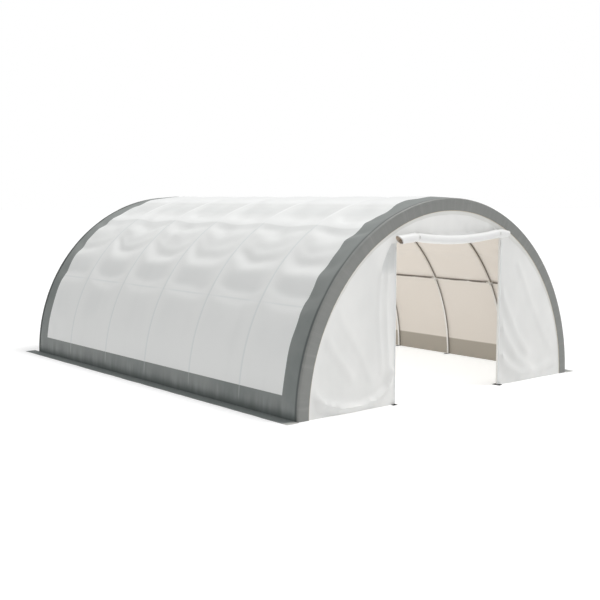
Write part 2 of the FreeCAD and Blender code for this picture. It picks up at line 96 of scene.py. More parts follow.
# %% A socket that can be used in sums
class Value:
    """A number that changes over a surface: a shader socket with Python's operators."""

    def __init__(self, nodes, socket):
        self.nodes = nodes
        self.socket = socket

    def __add__(self, other):
        return self.nodes.maths("ADD", self, other)

    def __rsub__(self, other):
        return self.nodes.maths("SUBTRACT", other, self)

    def __mul__(self, other):
        return self.nodes.maths("MULTIPLY", self, other)

    __radd__, __rmul__ = __add__, __mul__

    def __abs__(self):
        return self.nodes.maths("ABSOLUTE", self)

    def wave(self, length):
        return self.nodes.maths("SINE", self * (2 * math.pi / length))

    def repeat(self, period):
        """How far the number is from the nearest multiple of a period."""
        return self.nodes.maths("PINGPONG", self + 100 * period, period / 2)

    def within(self, start, end, low=1.0, high=0.0):
        """Eases from low at start to high at end."""
        inputs = {"Value": self, "From Min": start, "From Max": end, "To Min": low, "To Max": high}
        return self.nodes.node("ShaderNodeMapRange", inputs, interpolation_type="SMOOTHSTEP")

    def rise(self, start, end, top=1.0):
        """Eases from nothing at start to the top at end."""
        return self.within(start, end, 0.0, top)


# %% Node trees and finishes
class Nodes:
    """A node tree that grows by one node at a time."""

    def __init__(self, tree):
        self.tree = tree

    def node(self, kind, inputs=None, out=0, **settings):
        """Adds a node: its settings first, then the values or links of its sockets."""
        node = self.tree.nodes.new(kind)
        for name, value in settings.items():
            setattr(node, name, value)
        for name, value in (inputs or {}).items():
            if isinstance(value, Value):
                self.tree.links.new(value.socket, node.inputs[name])
            else:
                node.inputs[name].default_value = value
        return Value(self, node.outputs[out])

    def maths(self, operation, *numbers):
        return self.node("ShaderNodeMath", dict(enumerate(numbers)), operation=operation)

    def split(self, vector):
        outputs = self.node("ShaderNodeSeparateXYZ", {0: vector}).socket.node.outputs
        return [Value(self, outputs[i]) for i in range(3)]


class Finish(Nodes):
    """A material whose nodes are added by one method."""

    def __init__(self, name, **shader):
        self.material = bpy.data.materials.new(name)
        self.material.use_nodes = True
        super().__init__(self.material.node_tree)
        self.shader = self.tree.nodes["Principled BSDF"]
        for socket, value in shader.items():
            self.shader.inputs[socket.replace("_", " ")].default_value = value

    def feed(self, socket, value):
        self.tree.links.new(value.socket, self.shader.inputs[socket])

    def coat(self, colour, tone=None, change=0.15, least=0.38):
        """Feeds the colour, and a roughness that follows a tone."""
        self.feed("Base Color", colour)
        if tone is not None:
            self.feed("Roughness", tone * change + least)

    def place(self):
        """Object coordinates, which are the frame's own metres."""
        return self.node("ShaderNodeTexCoord", out="Object")

    def cloth_map(self):
        """The sheet's own map, in metres along and across the cloth."""
        return self.node("ShaderNodeUVMap", uv_map="cloth")

    def noise(self, vector, scale, detail=3.0, roughness=0.5):
        """Soft noise from 0 to 1, with features 1/scale metres across, or 1/scale on each axis."""
        if isinstance(scale, tuple):
            vector = self.node("ShaderNodeMapping", {"Vector": vector, "Scale": scale})
            scale = 1.0
        inputs = {"Vector": vector, "Scale": scale, "Detail": detail, "Roughness": roughness}
        return self.node("ShaderNodeTexNoise", inputs)

    def mix(self, factor, first, second):
        """One colour over another."""
        inputs = {0: factor, 6: first, 7: second}
        for key in (6, 7):
            if isinstance(inputs[key], tuple):
                inputs[key] = (*inputs[key], 1.0)
        return self.node("ShaderNodeMix", inputs, out=2, data_type="RGBA", clamp_factor=True)

    def bump(self, height, strength, depth):
        """Feeds the normal with relief of a depth in metres."""
        inputs = {"Height": height, "Strength": strength, "Distance": depth}
        self.feed("Normal", self.node("ShaderNodeBump", inputs))


print("shader helpers ready")

# %% [markdown]
# ## The floor and the light
# A plain white floor that glows a little keeps the shadow round the shelter soft. The light is one
# broad sky, brightest overhead, and one soft lamp from the front right, so folds read by their
# slope. Lamps inside stand for the daylight that the thin cloth lets through.

# %% Floor
FLOOR_SIZE = 600.0
FLOOR_DROP = 0.002
FLOOR_GREY = 0.62
FLOOR_GLOW = 0.62

bpy.ops.object.select_all(action="DESELECT")
bpy.ops.mesh.primitive_plane_add(size=FLOOR_SIZE, location=(0, 0, -FLOOR_DROP))
floor = bpy.context.object
floor.name = "studio_floor"
pale = Finish("studio_floor", Roughness=0.9, Base_Color=(FLOOR_GREY,) * 3 + (1.0,),
              Emission_Strength=FLOOR_GLOW)
floor_x, floor_y, _ = pale.split(pale.place())
# The floor glows brighter under the shelter: painted light that lifts the shade under its roof.
glow_under_roof = abs(floor_x).within(4.4, 4.8) * abs(floor_y).within(5.2, 6.6)
pale.feed("Emission Color", pale.mix(glow_under_roof, (FLOOR_GREY,) * 3, (0.98, 1.0, 1.0)))
floor.data.materials.append(pale.material)
print("floor", FLOOR_SIZE, "m square")

# %% Sky
SKY_BASE = 0.05
SKY_TOP = 1.08
SKY_LEAST = 0.02
BACKDROP = 1.0

world = bpy.data.worlds.new("studio")
scene.world = world
world.use_nodes = True
sky = Nodes(world.node_tree)
glow = sky.split(sky.node("ShaderNodeTexCoord", out="Generated"))[2] * SKY_TOP + SKY_BASE
glow = sky.maths("MAXIMUM", glow, SKY_LEAST)
straight = sky.node("ShaderNodeLightPath", out="Is Camera Ray")
glow = straight * BACKDROP + (1 - straight) * glow
background = sky.tree.nodes["Background"]
background.inputs["Color"].default_value = (1.0, 1.0, 1.0, 1.0)
sky.tree.links.new(glow.socket, background.inputs["Strength"])
print("sky", SKY_BASE, SKY_TOP)

# %% A broad lamp from the front right
SUN_FROM = (0.42, -0.28, 0.86)
SUN_STRENGTH = 1.60
SUN_SPREAD = 16.0

sun = bpy.data.objects.new("key_lamp", bpy.data.lights.new("key_lamp", "SUN"))
scene.collection.objects.link(sun)
sun.data.energy = SUN_STRENGTH
sun.data.angle = math.radians(SUN_SPREAD)
sun.rotation_mode = "QUATERNION"
sun.rotation_quaternion = Vector(SUN_FROM).to_track_quat("Z", "Y")
print("key lamp", SUN_STRENGTH)

# %% Lamps inside
LAMP_POWER = 48.0
LAMP_SIZE = 0.9
LAMP_PLACES = ((-0.6, -3.6, 1.7), (-0.6, 0.2, 1.7), (-0.6, 4.0, 1.7))

for count, place in enumerate(LAMP_PLACES):
    name = f"inside_lamp_{count}"
    lamp = bpy.data.objects.new(name, bpy.data.lights.new(name, "POINT"))
    lamp.data.energy = LAMP_POWER
    lamp.data.shadow_soft_size = LAMP_SIZE
    lamp.data.color = (1.0, 0.985, 0.965)
    lamp.location = place
    lamp.visible_camera = False
    lamp.visible_glossy = False
    scene.collection.objects.link(lamp)
print("inside lamps", len(LAMP_PLACES))

# %% [markdown]
# ## Sizes from the frame
# Every sheet takes its size from the CAD nodes it stands for. The arch is half a circle, so a
# place on the cover is an angle round the arch, 0 degrees at the right foot and 180 at the left,
# and a distance along the shelter.

# %% Sizes
FABRIC = 0.003
ARCH_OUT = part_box("cover_field")[1].z
END = -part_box("face_band_front")[0].y
FIELD_END = -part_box("cover_field")[0].y
FOOT_ANGLE = math.degrees(math.asin(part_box("cover_field")[0].z / ARCH_OUT))
BAND_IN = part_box("hem_cord_front")[1].z
HOOPS = [sum(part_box(f"hoop_{n}")[i].y for i in (0, 1)) / 2 for n in range(1, 8)]
BAY = HOOPS[1] - HOOPS[0]
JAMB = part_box("front_gable")[1].x
DOOR_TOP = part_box("front_gable")[0].z
WALL_FACE = -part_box("front_gable")[0].y
WALL_FOOT = 0.004
print("arch", round(ARCH_OUT, 3), "bay", round(BAY, 3), "doorway", round(2 * JAMB, 2))

# %% [markdown]
# ## How a sheet is made
# Cloth could be draped by simulation, but a cover this large is held all over by its frame, and
# its folds are shallow and known. So each sheet is a net of points placed by a rule, then given
# its real thickness by Solidify. The net also carries a map in metres, which the weave follows.


# %% Rules for points
def ease(t):
    """0 to 1 with soft ends."""
    t = np.clip(t, 0.0, 1.0)
    return t * t * (3 - 2 * t)


def bell(distance, width):
    return np.exp(-(distance / width) ** 2)


def soft_table(x, places, values):
    """Values joined by soft waves, flat at each place."""
    places = np.asarray(places, float)
    values = np.asarray(values, float)
    k = np.clip(np.searchsorted(places, x) - 1, 0, len(places) - 2)
    t = ease((x - places[k]) / (places[k + 1] - places[k]))
    return values[k] + (values[k + 1] - values[k]) * t


def ripples(seed, low, high, count=26):
    """A seeded sum of waves: a function of two lengths in metres, about -1 to 1."""
    rng = np.random.default_rng(seed)
    length = np.exp(rng.uniform(math.log(low), math.log(high), count))
    turn = rng.uniform(0, math.pi, count)
    shift = rng.uniform(0, 2 * math.pi, count)
    weight = length / length.mean()
    weight = weight / np.sqrt((weight ** 2).sum())

    def height(a, b):
        total = np.zeros(np.broadcast(a, b).shape)
        for size, angle, start, part in zip(length, turn, shift, weight):
            along = a * math.cos(angle) + b * math.sin(angle)
            total += part * np.sin(2 * math.pi * along / size + start)
        return total

    return height


def mesh_grid(first, second):
    return np.meshgrid(first, second, indexing="ij")


def stack(*axes):
    """Numbers for each axis, as one array of points."""
    return np.stack(np.broadcast_arrays(*axes), axis=-1)


def arc_length(theta, radius=ARCH_OUT):
    return theta * radius * math.pi / 180


def on_arch(radius, theta, y):
    """Points at angles in degrees round an arch."""
    return stack(radius * np.cos(np.radians(theta)), y, radius * np.sin(np.radians(theta)))


# %% Steps that every piece shares
def only(*pieces):
    """Selects these pieces and makes the first one active."""
    bpy.ops.object.select_all(action="DESELECT")
    for piece in pieces:
        piece.select_set(True)
    bpy.context.view_layer.objects.active = pieces[0]


def apply_all(piece):
    only(piece)
    for modifier in list(piece.modifiers):
        bpy.ops.object.modifier_apply(modifier=modifier.name)


def edit(piece, step, points=None, faces=None, **values):
    """One edit-mode step, on the chosen points or faces, or on everything."""
    only(piece)
    bpy.ops.object.mode_set(mode="EDIT")
    bpy.ops.mesh.select_all(action="DESELECT" if points or faces else "SELECT")
    if points or faces:
        bpy.ops.object.mode_set(mode="OBJECT")
        for part in piece.data.vertices if points else piece.data.polygons:
            part.select = (points or faces)(part)
        bpy.ops.object.mode_set(mode="EDIT")
    step(**values)
    bpy.ops.object.mode_set(mode="OBJECT")


def join_pieces(pieces, name):
    only(*pieces)
    bpy.ops.object.join()
    bpy.context.object.name = name
    return bpy.context.object


def own(piece, body, slot, *nodes):
    """What a piece moves with, and the CAD nodes it stands for, which it hides. The slot is not
    used.
    """
    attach(piece, body)
    if nodes:
        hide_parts(*nodes)


# %% A sheet from its net
def net_faces(rows, columns, first=0, loop=False):
    """The four-sided faces of a net, counted from its first point."""
    faces = []
    for i in range(rows - 1):
        for j in range(columns if loop else columns - 1):
            k = (j + 1) % columns
            low = first + i * columns
            faces.append((low + j, low + k, low + columns + k, low + columns + j))
    return faces


def raw_sheet(name, points, faces, cloth_map, finishes, thick=FABRIC):
    """A sheet with a map in metres. It grows thick on the back, where a second finish shows."""
    mesh = bpy.data.meshes.new(name)
    mesh.from_pydata(np.asarray(points).tolist(), [], faces)
    corners = np.zeros(len(mesh.loops), int)
    mesh.loops.foreach_get("vertex_index", corners)
    layer = mesh.uv_layers.new(name="cloth")
    layer.data.foreach_set("uv", np.asarray(cloth_map, float)[corners].ravel())
    for finish in finishes:
        mesh.materials.append(finish.material)
    piece = bpy.data.objects.new(name, mesh)
    scene.collection.objects.link(piece)
    edit(piece, bpy.ops.mesh.remove_doubles, threshold=0.00005)
    solid = piece.modifiers.new("thickness", "SOLIDIFY")
    solid.thickness = thick
    solid.offset = -1.0
    solid.use_even_offset = False
    solid.use_quality_normals = True
    solid.material_offset = len(finishes) - 1
    apply_all(piece)
    bpy.ops.object.shade_smooth_by_angle(angle=math.radians(42))
    print(name, len(piece.data.polygons), "faces")
    return piece


def net_sheet(name, net, cloth_map, finishes, thick=FABRIC, loop=False, turned=False):
    """A sheet from a net of rows, columns and coordinates, turned over when it would face in."""
    if turned:
        net, cloth_map = net[:, ::-1], cloth_map[:, ::-1]
    faces = net_faces(*net.shape[:2], loop=loop)
    return raw_sheet(name, net.reshape(-1, 3), faces, cloth_map.reshape(-1, 2), finishes, thick)


# %% [markdown]
# ## The cover cloth's finishes
# The cover is a woven polyethylene sheet with a smooth coating: white for the field, slate grey
# for the borders, and warm beige inside, where light comes through it. The white finish paints
# the shadows of the steel tubes under it as faint blue-grey lines, so it reads the distance to the
# nearest hoop and purlin from the cloth's map; it also paints shade in the swags and highlights
# on their rims. The weave is a fine relief; the grey borders carry splash streaks low down.

# %% Weave and wrinkles that every cloth shares
WEAVE = 0.004
TAPE_RELIEF = 0.006
SHADE = (0.70, 0.716, 0.712)
CREASE_SHADE = (0.070, 0.083, 0.081)


def cloth_finish(name, roughness=0.45, crumple=0.35):
    """A finish with the weave's relief, its place, its cloth map and its coordinates."""
    finish = Finish(name, Roughness=roughness)
    place = finish.place()
    u, v, _ = finish.split(finish.cloth_map())
    creases = finish.noise(place, 3.2, 4.0, 0.55)
    tapes = u.wave(WEAVE) * v.wave(WEAVE)
    finish.bump(creases * crumple + tapes * TAPE_RELIEF, 0.35, 0.012)
    return finish, place, (u, v), finish.split(place)


# %% White field
def white_cover_finish():
    """White coated cloth with painted tube shadows, painted shade in its swags and painted
    highlights.
    """
    finish, place, (u, v), (x, y, z) = cloth_finish("white_cover", 0.42)
    hoop_gap = v.repeat(BAY)
    in_bay = hoop_gap.rise(0.10, 0.55)
    high = z.rise(3.95, 4.2)
    tone = finish.noise(place, 0.55, 4.0)
    stain = finish.noise(place, (0.3, 2.4, 0.22), 5.0)
    cloud = finish.noise(place, (0.5, 0.8, 0.5), 2.0)
    base = finish.mix(tone, (0.812, 0.820, 0.810), (0.778, 0.788, 0.778))
    base = finish.mix(stain.rise(0.5, 0.85, 0.22), base, (0.70, 0.715, 0.70))
    # Painted shade: the deepest part of each swag above the lowest purlin, and soft hollows below
    # it.
    dip_shade = z.rise(2.26, 2.55) * z.within(2.75, 2.98) * in_bay
    hollow_shade = z.rise(0.9, 1.6) * z.within(1.75, 2.2) * cloud.within(0.35, 0.65, 0.1, 1.0) * in_bay
    base = finish.mix(dip_shade * 0.34 + hollow_shade * 0.30, base, SHADE)
    # Painted shadows of the hoops and purlins under the cloth, as blue-grey lines; up high the
    # hoop lines fade.
    hoop = hoop_gap.within(0.008, 0.046) * (1 - high)
    purlin = u.repeat(ARCH_OUT * math.pi / 6).within(0.004, 0.034) * z.within(3.6, 3.8)
    tubes = hoop * 0.38 + purlin * hoop_gap.within(0.1, 0.6, 0.3, 1.0) * 0.26
    base = finish.mix(tubes, base, (0.56, 0.615, 0.625))
    # Painted shade just under each swag's rim and a painted highlight over it, and a patch of
    # painted shade below the crown in mid bay.
    rim = z + hoop_gap.rise(0.0, 1.0, 0.06)
    under = rim.rise(3.78, 3.93) * rim.within(3.935, 3.965)
    over = rim.rise(3.94, 3.97) * rim.within(4.02, 4.20)
    crown_shade = z.rise(4.12, 4.20) * z.within(4.28, 4.36) * in_bay
    base = finish.mix(under * 0.28 + crown_shade * 0.36, base, SHADE)
    base = finish.mix(over * 0.55, base, (0.92, 0.928, 0.922))
    # Painted highlights: the hoop lines turn light up high, and the top of the arch is lighter.
    base = finish.mix(hoop_gap.within(0.01, 0.07) * high * 0.8, base, (0.93, 0.94, 0.935))
    base = finish.mix(z.rise(4.38, 4.46, 0.8), base, (0.90, 0.908, 0.905))
    finish.coat(base, tone, 0.12, 0.36)
    return finish


# %% Grey border and band
def grey_border_finish():
    """Slate grey cloth with splash streaks low down, painted shade in the crease and at its foot,
    and painted light up high.
    """
    finish, place, _, (x, y, z) = cloth_finish("grey_border", crumple=0.45)
    tone = finish.noise(place, 0.9, 4.0)
    streak = finish.noise(place, (1.0, 4.6, 0.7), 3.0)
    low = z.rise(0.55, 0.02)
    base = finish.mix(tone.rise(0.35, 0.65), (0.178, 0.197, 0.191), (0.225, 0.241, 0.233))
    base = finish.mix(low * streak.rise(0.42, 0.72, 0.55), base, (0.36, 0.385, 0.38))
    base = finish.mix(low * streak.rise(0.50, 0.28, 0.5), base, (0.13, 0.145, 0.142))
    mark = y.repeat(BAY).within(0.008, 0.035) * z.rise(0.08, 0.3) * z.within(0.48, 0.52)
    base = finish.mix(mark * 0.45, base, (0.40, 0.42, 0.41))
    # Painted shade in the crease beside the end hoop.
    base = finish.mix(abs(y).rise(END - 0.135, END - 0.10, 0.9), base, CREASE_SHADE)
    # Painted light: lighter higher up.
    base = finish.mix(z.rise(2.4, 4.0, 0.5), base, (0.275, 0.292, 0.283))
    # Painted shade along the foot, by the ground.
    base = finish.mix(z.within(0.0, 0.26, 0.75), base, (0.104, 0.122, 0.118))
    finish.coat(base, tone)
    return finish


def face_band_finish():
    """The same grey cloth where it is turned over the end hoop: a little lighter and warmer, with
    painted shade on its lap.
    """
    finish, place, _, (x, y, z) = cloth_finish("face_band", crumple=0.2)
    rays = finish.noise(finish.cloth_map(), (7.0, 0.5, 1.0), 4.0, 0.6)
    tone = finish.noise(place, 0.8, 3.0)
    base = finish.mix(tone, (0.196, 0.204, 0.196), (0.236, 0.240, 0.229))
    base = finish.mix(rays.rise(0.45, 0.75, 0.5), base, (0.285, 0.287, 0.273))
    # Painted shade on the lap along the side, in the crease behind the end hoop.
    base = finish.mix(abs(y).within(END - 0.058, END - 0.040, 0.85), base, CREASE_SHADE)
    finish.coat(base, tone)
    return finish


# %% The cloth's inner face
def inside_finish():
    """Warm where daylight comes through, with a darker strip low down."""
    finish, place, _, (x, y, z) = cloth_finish("inner_cloth", 0.6, 0.25)
    base = finish.mix(finish.noise(place, 0.5), (0.765, 0.722, 0.674), (0.735, 0.690, 0.638))
    finish.coat(finish.mix(z.within(0.46, 0.50), base, (0.385, 0.355, 0.308)))
    return finish


white_cover = white_cover_finish()
grey_border = grey_border_finish()
face_band = face_band_finish()
inner_cloth = inside_finish()
print("cover finishes", white_cover.material.name, grey_border.material.name)

# %% [markdown]
# ## The shape of the cover
# Between two hoops the cover hangs in swags. They sag most in mid bay, hold to the hoops at both
# ends, and stop at the purlins, where a tube carries them. The profile below is the swags' depth
# round the arch, in millimetres outwards, and each swag curves down in mid bay like a smile.

# %% Swags
SWAG_ANGLES = (0, 8, 20, 27.3, 29.2, 30, 30.8, 31.8, 38.6, 39.4, 42.6, 45.4, 46, 47, 50.4, 51.2,
               55.4, 58.8, 60, 60.8, 63.5, 68, 72, 77.5, 83, 86, 90)
SWAG_DEPTHS = (0, 0, 4, 16, -11, -11, -11, -44, 22, 24, -48, 4, 6, -6, 24, 26,
               -48, -6, -4, 2, -48, -36, -26, 34, 12, 18, 36)
SMILE_ANGLES = (0, 18, 26, 31, 36, 40, 45, 52, 56, 60, 66, 72, 80, 90)
SMILE_DEGREES = (0, 0, 4.0, 2.2, 3.0, 3.2, 4.5, 5.5, 3.5, 0.8, 4.5, 5.0, 2.0, 0)
SWAG_STEP = 0.05
BLUR_DEGREES = 0.66
BLUR_REACH = 60
PURLIN_EVERY = 30
DEEPEST = 0.05

swag_places = np.linspace(0, 90, 1801)
swag_blur = np.arange(-BLUR_REACH, BLUR_REACH + 1) * SWAG_STEP / BLUR_DEGREES
swag_blur = np.exp(-0.5 * swag_blur ** 2)
swag_line = np.interp(swag_places, SWAG_ANGLES, SWAG_DEPTHS) / 1000
swag_line = np.convolve(np.pad(swag_line, BLUR_REACH, mode="reflect"),
                        swag_blur / swag_blur.sum(), mode="valid")
bay_rng = np.random.default_rng(11)
BAY_STRENGTH = bay_rng.uniform(0.8, 1.15, (2, 8))
BAY_LEAN = bay_rng.uniform(-0.16, 0.16, (2, 8))
swag_ripple = ripples(21, 0.35, 1.1)
slack_ripple = ripples(22, 0.7, 2.2)


def cover_lift(theta, y):
    """How far the cover stands off its half circle, in metres."""
    height = np.minimum(theta, 180 - theta)
    left = (theta > 90).astype(int)
    bay = np.clip((y - HOOPS[0]) / BAY, -0.2, 6.2)
    number = np.clip(np.floor(bay).astype(int), 0, 5)
    v = np.clip(bay - number, 0, 1)
    v = v + BAY_LEAN[left, number] * v * (1 - v)
    arc = arc_length(theta)
    smile = np.interp(height, SMILE_ANGLES, SMILE_DEGREES) * (2 * v - 1) ** 2
    wander = 0.7 * slack_ripple(arc, y) * (height > 12)
    hold = 1 - np.abs(2 * v - 1) ** 3.2
    lift = np.interp(height - smile + wander, swag_places, swag_line)
    lift = lift * hold * BAY_STRENGTH[left, number]
    upper = ease((height - 44) / 8) * ease((82 - height) / 8)
    lift = lift + 0.010 * upper * hold * swag_ripple(arc, y * 0.75)
    lower = ease((height - 5) / 6) * ease((30 - height) / 6)
    lift = lift + 0.006 * lower * hold * slack_ripple(arc + 0.5 * y, y * 0.9)
    past = height % PURLIN_EVERY
    on_purlin = np.exp(-2 * past ** 2) + np.exp(-2 * (PURLIN_EVERY - past) ** 2)
    on_purlin = np.where(height < 15, 0, np.clip(on_purlin, 0, 1))
    return np.maximum(lift, -0.011 * on_purlin - DEEPEST * (1 - on_purlin))


def cover_point(theta, y):
    """A place on the outside of the cover, with a crease beside each end hoop."""
    crease = bell(END - np.abs(y) - 0.092, 0.022) * (np.abs(y) > END - 0.3)
    return on_arch(ARCH_OUT + cover_lift(theta, y) - 0.014 * crease, theta, y)


print("swags from", len(SWAG_ANGLES), "angles")

# %% [markdown]
# ## Where white meets grey
# The field and its borders are welded together along lines that aren't quite straight: the cloth
# was laid out slack, so the seam swings in and out by a few centimetres. One shared net gives both
# sides of each seam the same points, so the sheets meet without a gap.

# %% The shared net
SEAM_ANGLES = (0, 12, 19.7, 25.5, 31, 36.5, 41.8, 48, 54, 58.5, 62.9, 69, 75.4, 83, 90)
SEAM_FRONT = (0, -14, 16, -16, 24, -18, 22, -16, 30, -22, 42, -26, 46, -10, 0)
SEAM_REAR = (0, -6, 9, -11, 12, -10, 14, -12, 16, -10, 15, -14, 40, 150, 180)
SEAM_FADE = 0.7
SEAM_CLEAR = 0.025
BORDER_EDGE = END - 0.072
FOOT_CELLS = 7
BORDER_CELLS = 14
BAY_CELLS = 42


def spread(start, end, cells):
    return list(np.linspace(start, end, cells + 1))[:-1]


half_angles = (spread(0, FOOT_ANGLE, FOOT_CELLS) + spread(FOOT_ANGLE, 24, 13) + spread(24, 78, 66)
               + spread(78, 90, 10))
arc_lines = np.array(half_angles + [90.0] + [180 - a for a in reversed(half_angles)])
even = np.linspace(0, 1, BAY_CELLS + 1)
bay_share = 0.45 * (0.5 - 0.5 * np.cos(np.pi * even)) + 0.55 * even
long_lines = np.concatenate([HOOPS[k] + BAY * bay_share[:-1] for k in range(6)])
long_lines = long_lines[np.abs(long_lines) < FIELD_END - SEAM_CLEAR]
edge_lines = np.array(spread(-BORDER_EDGE, -FIELD_END, BORDER_CELLS))
long_lines = np.concatenate([edge_lines, [-FIELD_END], long_lines, [FIELD_END], -edge_lines[::-1]])


def seam_swing(y, height, depths):
    """The seam's swing along y, for the end where y is near -FIELD_END."""
    near = ease((y + BORDER_EDGE) / (BORDER_EDGE - FIELD_END))
    near = near * ease((-FIELD_END + SEAM_FADE - y) / SEAM_FADE)
    return near * soft_table(height, SEAM_ANGLES, depths) / 1000


net_theta, net_y = mesh_grid(arc_lines, long_lines)
net_height = np.minimum(net_theta, 180 - net_theta)
net_y = (net_y + seam_swing(net_y, net_height, SEAM_FRONT)
         - seam_swing(-net_y, net_height, SEAM_REAR))
cover_net = cover_point(net_theta, net_y)
cover_map = stack(arc_length(net_theta), net_y)
print("shared net", cover_net.shape)


def cover_part(name, node, rows, columns, finish, slot="grey_border"):
    """One welded part of the cover, cut out of the shared net."""
    piece = net_sheet(name, cover_net[rows, columns], cover_map[rows, columns],
                      [finish, inner_cloth])
    own(piece, "shelter", slot, node)


last_foot = len(arc_lines) - FOOT_CELLS
last_border = len(long_lines) - BORDER_CELLS
every_row = slice(0, None)
field = slice(BORDER_CELLS, last_border)
cover_part("cover_white", "cover_field", slice(FOOT_CELLS, last_foot), field, white_cover,
           "white_cover")
for end, columns in (("front", slice(0, BORDER_CELLS + 1)),
                     ("rear", slice(last_border - 1, None))):
    cover_part(f"cover_border_{end}_cloth", f"cover_border_{end}", every_row, columns, grey_border)
for side, rows in (("right", slice(0, FOOT_CELLS + 1)), ("left", slice(last_foot - 1, None))):
    cover_part(f"foot_border_{side}_cloth", f"foot_border_{side}", rows, field, grey_border)

# %% [markdown]
# ## The band over each end hoop
# The border ends in a separate grey band that turns over the end hoop and lies flat on the front.
# It is a strip swept round the arch: a short lap on the side, a round corner that fits the tube,
# and the flat face with fine wrinkles that run towards the arch's centre.

# %% Face bands
CORNER = 0.038
CORNER_STEPS = 8
LAP = 0.078
BAND_THICK = 0.0025
ENDS = {"front": (-1, "hoop_1"), "rear": (1, "hoop_7")}
band_ripple = ripples(31, 0.05, 0.22)


def band_profile():
    """The band's section: distances in from the arch and in from the shelter's end."""
    section = [(0.0015, LAP), (-0.001, LAP - 0.012), (0.0, (LAP + CORNER) / 2)]
    for turn in np.radians(np.linspace(0, 90, CORNER_STEPS + 1)):
        section.append((CORNER - CORNER * math.cos(turn), CORNER - CORNER * math.sin(turn)))
    section += [(depth, 0.0) for depth in np.linspace(CORNER, ARCH_OUT - BAND_IN, 11)[1:]]
    return np.array(section)


def make_face_band(end):
    sign, hoop = ENDS[end]
    section = band_profile()
    theta, across = mesh_grid(np.linspace(0, 180, 301), np.arange(len(section)))
    inward, back = section[across, 0], section[across, 1]
    arc = arc_length(theta)
    flat = ease((inward - CORNER) / 0.05)
    rays = np.clip(band_ripple(arc + sign, inward * 0.12), -1, 1)
    proud = flat * (0.0056 + 0.0030 * rays)
    net = on_arch(ARCH_OUT - inward + 0.0015 * (1 - flat), theta, sign * (END - back + proud))
    piece = net_sheet(f"face_band_{end}_cloth", net, stack(arc, inward - back),
                      [face_band, inner_cloth], BAND_THICK, turned=sign < 0)
    own(piece, "shelter", "grey_border", f"face_band_{end}")


for end in ENDS:
    make_face_band(end)

# %% [markdown]
# ## Ground flaps
# Along both sides a grey flap lies outwards on the ground, where earth or boards weigh it down. It
# is a strip of the same cloth, so it ripples a little and its outer edge lifts. It is painted a
# little darker than the border, as painted shade from the shelter, and its front end is painted
# lighter, as painted light where it comes out of that shade.

# %% Flap finish
FLAP_LOW, FLAP_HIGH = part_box("ground_flap_right")
FLAP_WIDE = FLAP_HIGH.x - FLAP_LOW.x
FLAP_REST = 0.0031
flap_ripple = ripples(41, 0.25, 1.2)


def flap_finish():
    """Slate cloth, darker as painted shade, paler towards its outer edge, and with painted light
    at the front end.
    """
    finish, place, (u, v), _ = cloth_finish("ground_flap", 0.55, 0.6)
    tone = finish.noise(place, (3.0, 1.05, 1.5), 4.0)
    # The slate tones are painted darker than the border's: painted shade from the shelter.
    base = finish.mix(tone, (0.150, 0.168, 0.164), (0.195, 0.216, 0.211))
    edge = u.rise(FLAP_WIDE - 0.055, FLAP_WIDE - 0.02, 0.35)
    base = finish.mix(edge, base, (0.24, 0.25, 0.24))
    # Painted light: the front end is lighter, where the flap comes out of the shelter's shade.
    finish.coat(finish.mix(v.within(-END + 0.02, -END + 0.2), base, (0.46, 0.46, 0.44)))
    return finish


ground_flap = flap_finish()

# %% Flaps
def make_flap(side, sign):
    across, along = mesh_grid(np.linspace(0, 1, 9), np.linspace(FLAP_LOW.y, FLAP_HIGH.y, 261))
    rise = flap_ripple(across * 0.5 + 3 * sign, along)
    lift = 0.0032 + across * (0.002 + 0.002 * rise)
    lift = lift + 0.004 * ease((across - 0.7) / 0.3) * (0.5 + 0.5 * rise)
    swing = 0.0025 * across * (1 + flap_ripple(0.3 * across, along * 0.7 + sign))
    out = FLAP_LOW.x + FLAP_WIDE * across - swing
    net = stack(sign * out, along, np.maximum(lift, FLAP_REST))
    piece = net_sheet(f"ground_flap_{side}_cloth", net, stack(FLAP_WIDE * across, along),
                      [ground_flap], 0.0025, turned=sign > 0)
    own(piece, "shelter", "ground_flap", f"ground_flap_{side}")


make_flap("right", 1)
make_flap("left", -1)

# %% [markdown]
# ## End walls
# The front wall is one white sheet on the end hoop with the doorway cut out, so its net runs in
# rings from the doorway to the arch. It hangs in folds: some fan out from the jambs, some follow
# the foot, where the cloth is too long and bunches. The rear wall has no doorway, so a plain net
# fills its middle. Each fold is a line of points with a height and a width.

# %% Wall finish
def wall_finish(name, light, dark, fade=None):
    """White coated cloth with soft tone changes and dust along the ground."""
    finish, place, _, (x, y, z) = cloth_finish(name, crumple=0.4)
    tone = finish.noise(place, (0.9, 0.9, 0.495), 4.0)
    dust = finish.noise(place, (2.5, 1.0, 1.2), 4.0)
    base = finish.mix(tone.rise(0.3, 0.7), light, dark)
    low = z.within(0.02, 0.3) * dust.rise(0.45, 0.75, 0.3)
    base = finish.mix(low, base, (0.66, 0.655, 0.625))
    # With fade, the colour eases to the wall's white below a height: the patch's painted shade
    # fading out downwards.
    if fade:
        base = finish.mix(z.within(*fade), base, (0.765, 0.767, 0.753))
    finish.coat(base, tone)
    return finish


white_wall = wall_finish("white_wall", (0.80, 0.80, 0.785), (0.73, 0.733, 0.72))

